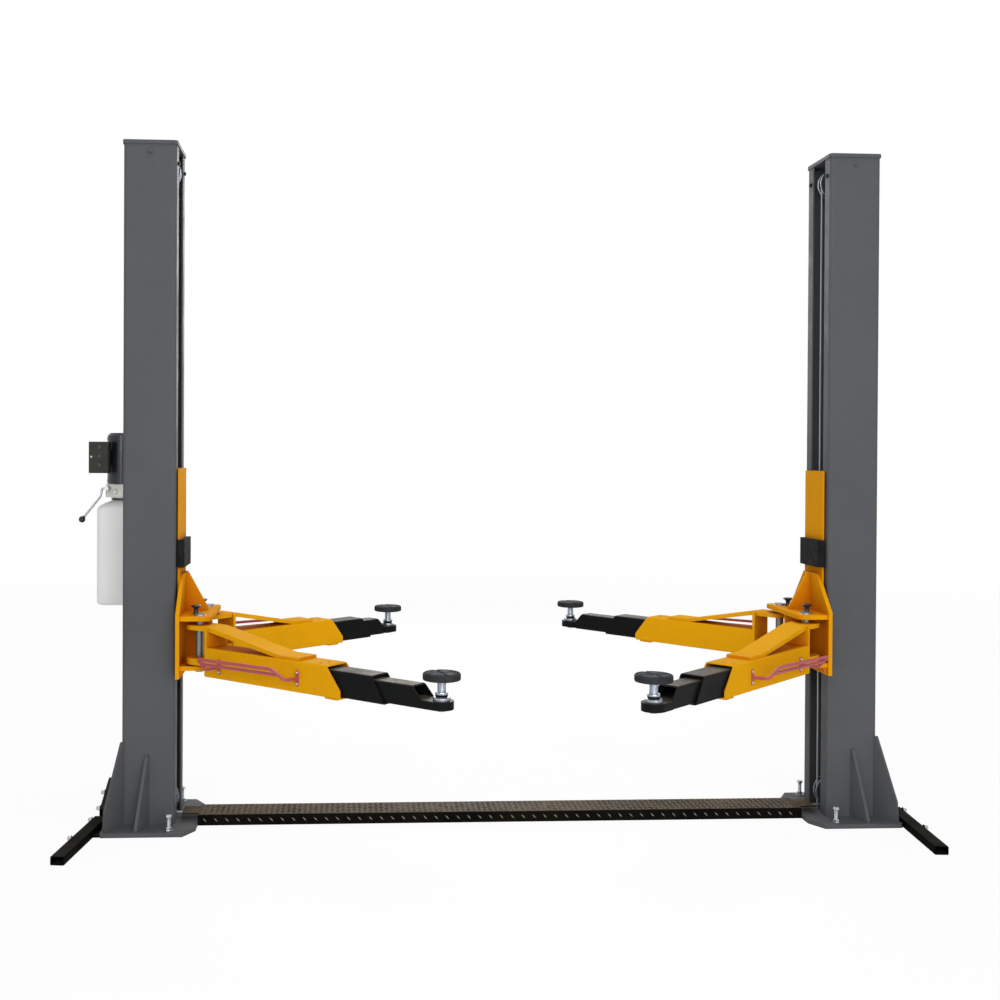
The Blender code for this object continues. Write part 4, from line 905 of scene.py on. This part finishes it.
def build_guard(name):
    """The bent double rod that keeps feet off the arm, on two bolted straps."""
    place = arm_frame(name)
    rise = REAR_GUARD_RISE if name.startswith("rear") else 0.0
    mouth = arm_mouth(name)
    far = mouth - GUARD_FAR
    root = STRAP_FACE + STRAP_THICKNESS / 2
    root_height = GUARD_LOW_BEND[1] - GUARD_ROOT_DROP
    stations = [
        (GUARD_NEAR, root, GUARD_FOLD[2]),
        GUARD_FOLD,
        GUARD_TIP,
        (mouth - GUARD_HIGH_BEND[0], *GUARD_HIGH_BEND[1:]),
        (far, *GUARD_LOW_BEND),
        (far, root, root_height),
    ]
    main = [place(distance, reach, height + rise) for distance, reach, height in stations]
    across = [main[1].lerp(main[2], GUARD_CROSSING), main[3].lerp(main[4], GUARD_CROSSING)]
    shape = bmesh.new()
    sweep(shape, rounded_path(main, GUARD_CORNER), GUARD_RADIUS)
    sweep(shape, across, GUARD_CROSS_RADIUS)
    heads = []
    face = STRAP_FACE + STRAP_THICKNESS - STRAP_BOLT_SINK
    for distance, height in ((GUARD_NEAR, GUARD_FOLD[2]), (far, root_height)):
        add_strap(shape, place, distance, height + rise)
        for shift in (-STRAP_BOLT_OFFSET, STRAP_BOLT_OFFSET):
            heads.append(place(distance, face, height + rise + shift))
    piece = add_piece(name + "_bent_guard", shape, "guard", name + "_arm", 50)
    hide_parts(name + "_guard")
    outwards = place(0, 1, 0) - place(0, 0, 0)
    shape = bmesh.new()
    for spot in heads:
        lathe(shape, DOME, facing(spot, outwards), 14)
    add_piece(name + "_strap_bolts", shape, "zinc", name + "_arm", 50)


def build_screw(name):
    """A threaded lifting screw in place of the plain one, and the zinc seat that it turns in."""
    low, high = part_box(name + "_screw")
    centre = (low + high) / 2
    bottom = low.z
    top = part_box(name + "_pad")[0].z - SCREW_PAD_GAP
    rows = int((top - bottom) / SCREW_PITCH * SCREW_ROWS_A_TURN)
    shape = bmesh.new()
    rings = []
    for row in range(rows + 1):
        z = bottom + (top - bottom) * row / rows
        ring = []
        for step in range(SCREW_STEPS):
            angle = 2 * math.pi * step / SCREW_STEPS
            phase = ((z - bottom) / SCREW_PITCH - step / SCREW_STEPS) % 1.0
            r = SCREW_RADIUS - SCREW_DEPTH * abs(2 * phase - 1)
            spot = (centre.x + r * math.cos(angle), centre.y + r * math.sin(angle), z)
            ring.append(shape.verts.new(spot))
        rings.append(ring)
    close_rings(shape, rings)
    piece = add_piece(name + "_threaded_screw", shape, "screw", name + "_pad", 60)
    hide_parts(name + "_screw")

    shape = bmesh.new()
    lathe(shape, SCREW_SEAT, Matrix.Translation((centre.x, centre.y, 0)), 40)
    weld(shape)
    add_piece(name + "_screw_seat", shape, "screw", name + "_inner", 35)


def build_pad(name):
    """The rubber pad, with a rounded rim, a sunk ring and a cross of grooves on its top."""
    low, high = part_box(name + "_pad")
    centre = (low + high) / 2
    radius = (high.x - low.x) / 2
    height = high.z - low.z
    edge = [(radius - inset, up) for inset, up in PAD_LOW_EDGE]
    edge += [(radius - inset, height - down) for inset, down in PAD_HIGH_EDGE]
    shape = bmesh.new()
    rings = [[shape.verts.new((centre.x, centre.y, low.z))]]
    quarter = PAD_STEPS // 4
    for index, (r, z) in enumerate(edge + [(share * radius, height) for share in PAD_TOP]):
        ring = []
        for step in range(PAD_STEPS):
            angle = math.radians(PAD_TURN) + 2 * math.pi * step / PAD_STEPS
            level = z
            if index >= len(edge) - 1:
                share = PAD_TOP[index - len(edge)] if index >= len(edge) else 1.0
                level -= PAD_SUNK_RING.get(share, 0.0)
                away = min(step % quarter, quarter - step % quarter)
                through = share < PAD_RIM_SHARE or (step + quarter // 2) // quarter % 2 == 1
                if away <= PAD_GROOVE_STEPS and through:
                    level = min(level, height - PAD_GROOVE)
            spot = (centre.x + r * math.cos(angle), centre.y + r * math.sin(angle), low.z + level)
            ring.append(shape.verts.new(spot))
        rings.append(ring)
    rings.append([shape.verts.new((centre.x, centre.y, low.z + height - PAD_GROOVE))])
    skin(shape, rings, PAD_STEPS)
    piece = add_piece(name + "_grooved_pad", shape, "rubber", name + "_pad", 28)
    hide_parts(name + "_pad")


def build_knob(name):
    """The lock knob with a flared stem in place of the plain one, and the washer of the pivot pin."""
    low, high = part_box(name + "_lock_knob")
    centre = (low + high) / 2
    knob = [(0, 0), (KNOB_STEM, 0), (KNOB_STEM, KNOB_SHELF)]
    knob += [(radius, KNOB_SHELF + height) for radius, height in KNOB_ABOVE_SHELF]
    shape = bmesh.new()
    lathe(shape, knob, Matrix.Translation((centre.x, centre.y, low.z)), 28)
    piece = add_piece(name + "_flared_knob", shape, "knob", name + "_lock", 45)
    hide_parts(name + "_lock_knob")

    pin_low, pin_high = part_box(name + "_pivot_pin")
    pin = (pin_low + pin_high) / 2
    top = low.z + KNOB_SHELF - WASHER_SINK
    shape = bmesh.new()
    lathe(shape, PIN_WASHER, Matrix.Translation((pin.x, pin.y, top)), 36)
    weld(shape)
    carriage = name.split("_")[1] + "_carriage"
    add_piece(name + "_pin_washer", shape, "zinc", carriage, 35)


def build_arm_screws(name):
    """Two small button heads on the arm's top, just short of its mouth."""
    place = arm_frame(name)
    mouth = arm_mouth(name)
    shape = bmesh.new()
    for back, reach in BUTTON_PLACES:
        spot = place(mouth - back, reach, ARM_TOP - BUTTON_SINK)
        lathe(shape, BUTTON, facing(spot, (0, 0, 1)), 18)
    add_piece(name + "_button_heads", shape, "arm", name + "_arm", 35)


def build_stage():
    """A pale floor that fades into a white backdrop, soft lamps and an even world."""
    mesh = bpy.data.meshes.new("floor")
    corners = [(x * FLOOR_REACH, y * FLOOR_REACH, 0) for x, y in ((-1, -1), (1, -1), (1, 1), (-1, 1))]
    mesh.from_pydata(corners, [], [(0, 1, 2, 3)])
    floor = bpy.data.objects.new("floor", mesh)
    bpy.context.scene.collection.objects.link(floor)
    material = bpy.data.materials.new("floor_finish")
    material.use_nodes = True
    tree = material.node_tree
    shader = tree.nodes["Principled BSDF"]
    shader.inputs["Base Color"].default_value = FLOOR_COLOUR
    shader.inputs["Roughness"].default_value = 0.9
    shader.inputs["Specular IOR Level"].default_value = 0.1
    white = tree.nodes.new("ShaderNodeEmission")
    white.inputs["Color"].default_value = (1.0, 1.0, 1.0, 1.0)
    blend = tree.nodes.new("ShaderNodeMixShader")
    share = tree.nodes.new("ShaderNodeMath")
    share.operation = "MULTIPLY"
    place = tree.nodes.new("ShaderNodeTexCoord").outputs["Object"]
    distance = tree.nodes.new("ShaderNodeVectorMath")
    distance.operation = "LENGTH"
    tree.links.new(place, distance.inputs[0])
    fade = tree.nodes.new("ShaderNodeMapRange")
    fade.inputs["From Min"].default_value = FADE_START
    fade.inputs["From Max"].default_value = FADE_STOP
    fade.inputs["To Min"].default_value = FLOOR_WHITE
    tree.links.new(distance.outputs["Value"], fade.inputs["Value"])
    tree.links.new(fade.outputs["Result"], share.inputs[1])
    tree.links.new(seen_rays(tree), share.inputs[0])
    tree.links.new(share.outputs["Value"], blend.inputs["Fac"])
    tree.links.new(shader.outputs["BSDF"], blend.inputs[1])
    tree.links.new(white.outputs["Emission"], blend.inputs[2])
    tree.links.new(blend.outputs["Shader"], tree.nodes["Material Output"].inputs["Surface"])
    mesh.materials.append(material)

    world = bpy.data.worlds.new("studio")
    bpy.context.scene.world = world
    world.use_nodes = True
    tree = world.node_tree
    background = tree.nodes["Background"]
    background.inputs["Color"].default_value = (1.0, 1.0, 1.0, 1.0)
    strength = tree.nodes.new("ShaderNodeMapRange")
    strength.inputs["To Min"].default_value = WORLD_LIGHT
    strength.inputs["To Max"].default_value = 1.0
    tree.links.new(seen_rays(tree), strength.inputs["Value"])
    tree.links.new(strength.outputs["Result"], background.inputs["Strength"])

    for lamp in LAMPS:
        add_lamp(*lamp)


def seen_rays(tree):
    """1 for camera, glossy and transmission rays, and 0 for the rays that carry light."""
    path = tree.nodes.new("ShaderNodeLightPath")
    total = path.outputs["Is Camera Ray"]
    for ray in ("Is Glossy Ray", "Is Transmission Ray"):
        either = tree.nodes.new("ShaderNodeMath")
        either.operation = "MAXIMUM"
        tree.links.new(total, either.inputs[0])
        tree.links.new(path.outputs[ray], either.inputs[1])
        total = either.outputs["Value"]
    return total


def add_lamp(name, place, target, size, power):
    """A round soft lamp that faces its target."""
    light = bpy.data.lights.new(name, "AREA")
    light.shape = "DISK"
    light.size = size
    light.energy = power
    lamp = bpy.data.objects.new(name, light)
    lamp.location = place
    direction = Vector(target) - Vector(place)
    lamp.rotation_euler = direction.to_track_quat("-Z", "Y").to_euler()
    bpy.context.scene.collection.objects.link(lamp)


def build_camera():
    """The camera, turned by its yaw, then its pitch, then its roll."""
    yaw, pitch, roll = (math.radians(angle) for angle in (CAMERA_YAW, CAMERA_PITCH, CAMERA_ROLL))
    forward = Vector((math.sin(yaw) * math.cos(pitch), math.cos(yaw) * math.cos(pitch), -math.sin(pitch)))
    level_right = Vector((math.cos(yaw), -math.sin(yaw), 0))
    level_down = forward.cross(level_right)
    right = level_right * math.cos(roll) + level_down * math.sin(roll)
    up = level_right * math.sin(roll) - level_down * math.cos(roll)
    data = bpy.data.cameras.new("camera")
    data.sensor_width = SENSOR_WIDTH
    data.lens = FOCAL_PIXELS / PICTURE_WIDTH * SENSOR_WIDTH
    data.shift_x = 0.5 - CENTRE_PIXEL[0] / PICTURE_WIDTH
    data.shift_y = CENTRE_PIXEL[1] / PICTURE_WIDTH - 0.5
    camera = bpy.data.objects.new("camera", data)
    turn = Matrix((right, up, -forward)).transposed()
    camera.matrix_world = Matrix.Translation(CAMERA_PLACE) @ turn.to_4x4()
    bpy.context.scene.collection.objects.link(camera)
    bpy.context.scene.camera = camera


dress_nodes()
build_column_fasteners()
build_outrigger_details()
build_tread()
build_power_details()
build_tank()
build_lever()
build_pulley_rims()
for arm_name in ARM_NAMES:
    build_guard(arm_name)
    build_screw(arm_name)
    build_pad(arm_name)
    build_knob(arm_name)
    build_arm_screws(arm_name)
build_stage()
build_camera()
bpy.context.scene.view_settings.view_transform = "Standard"
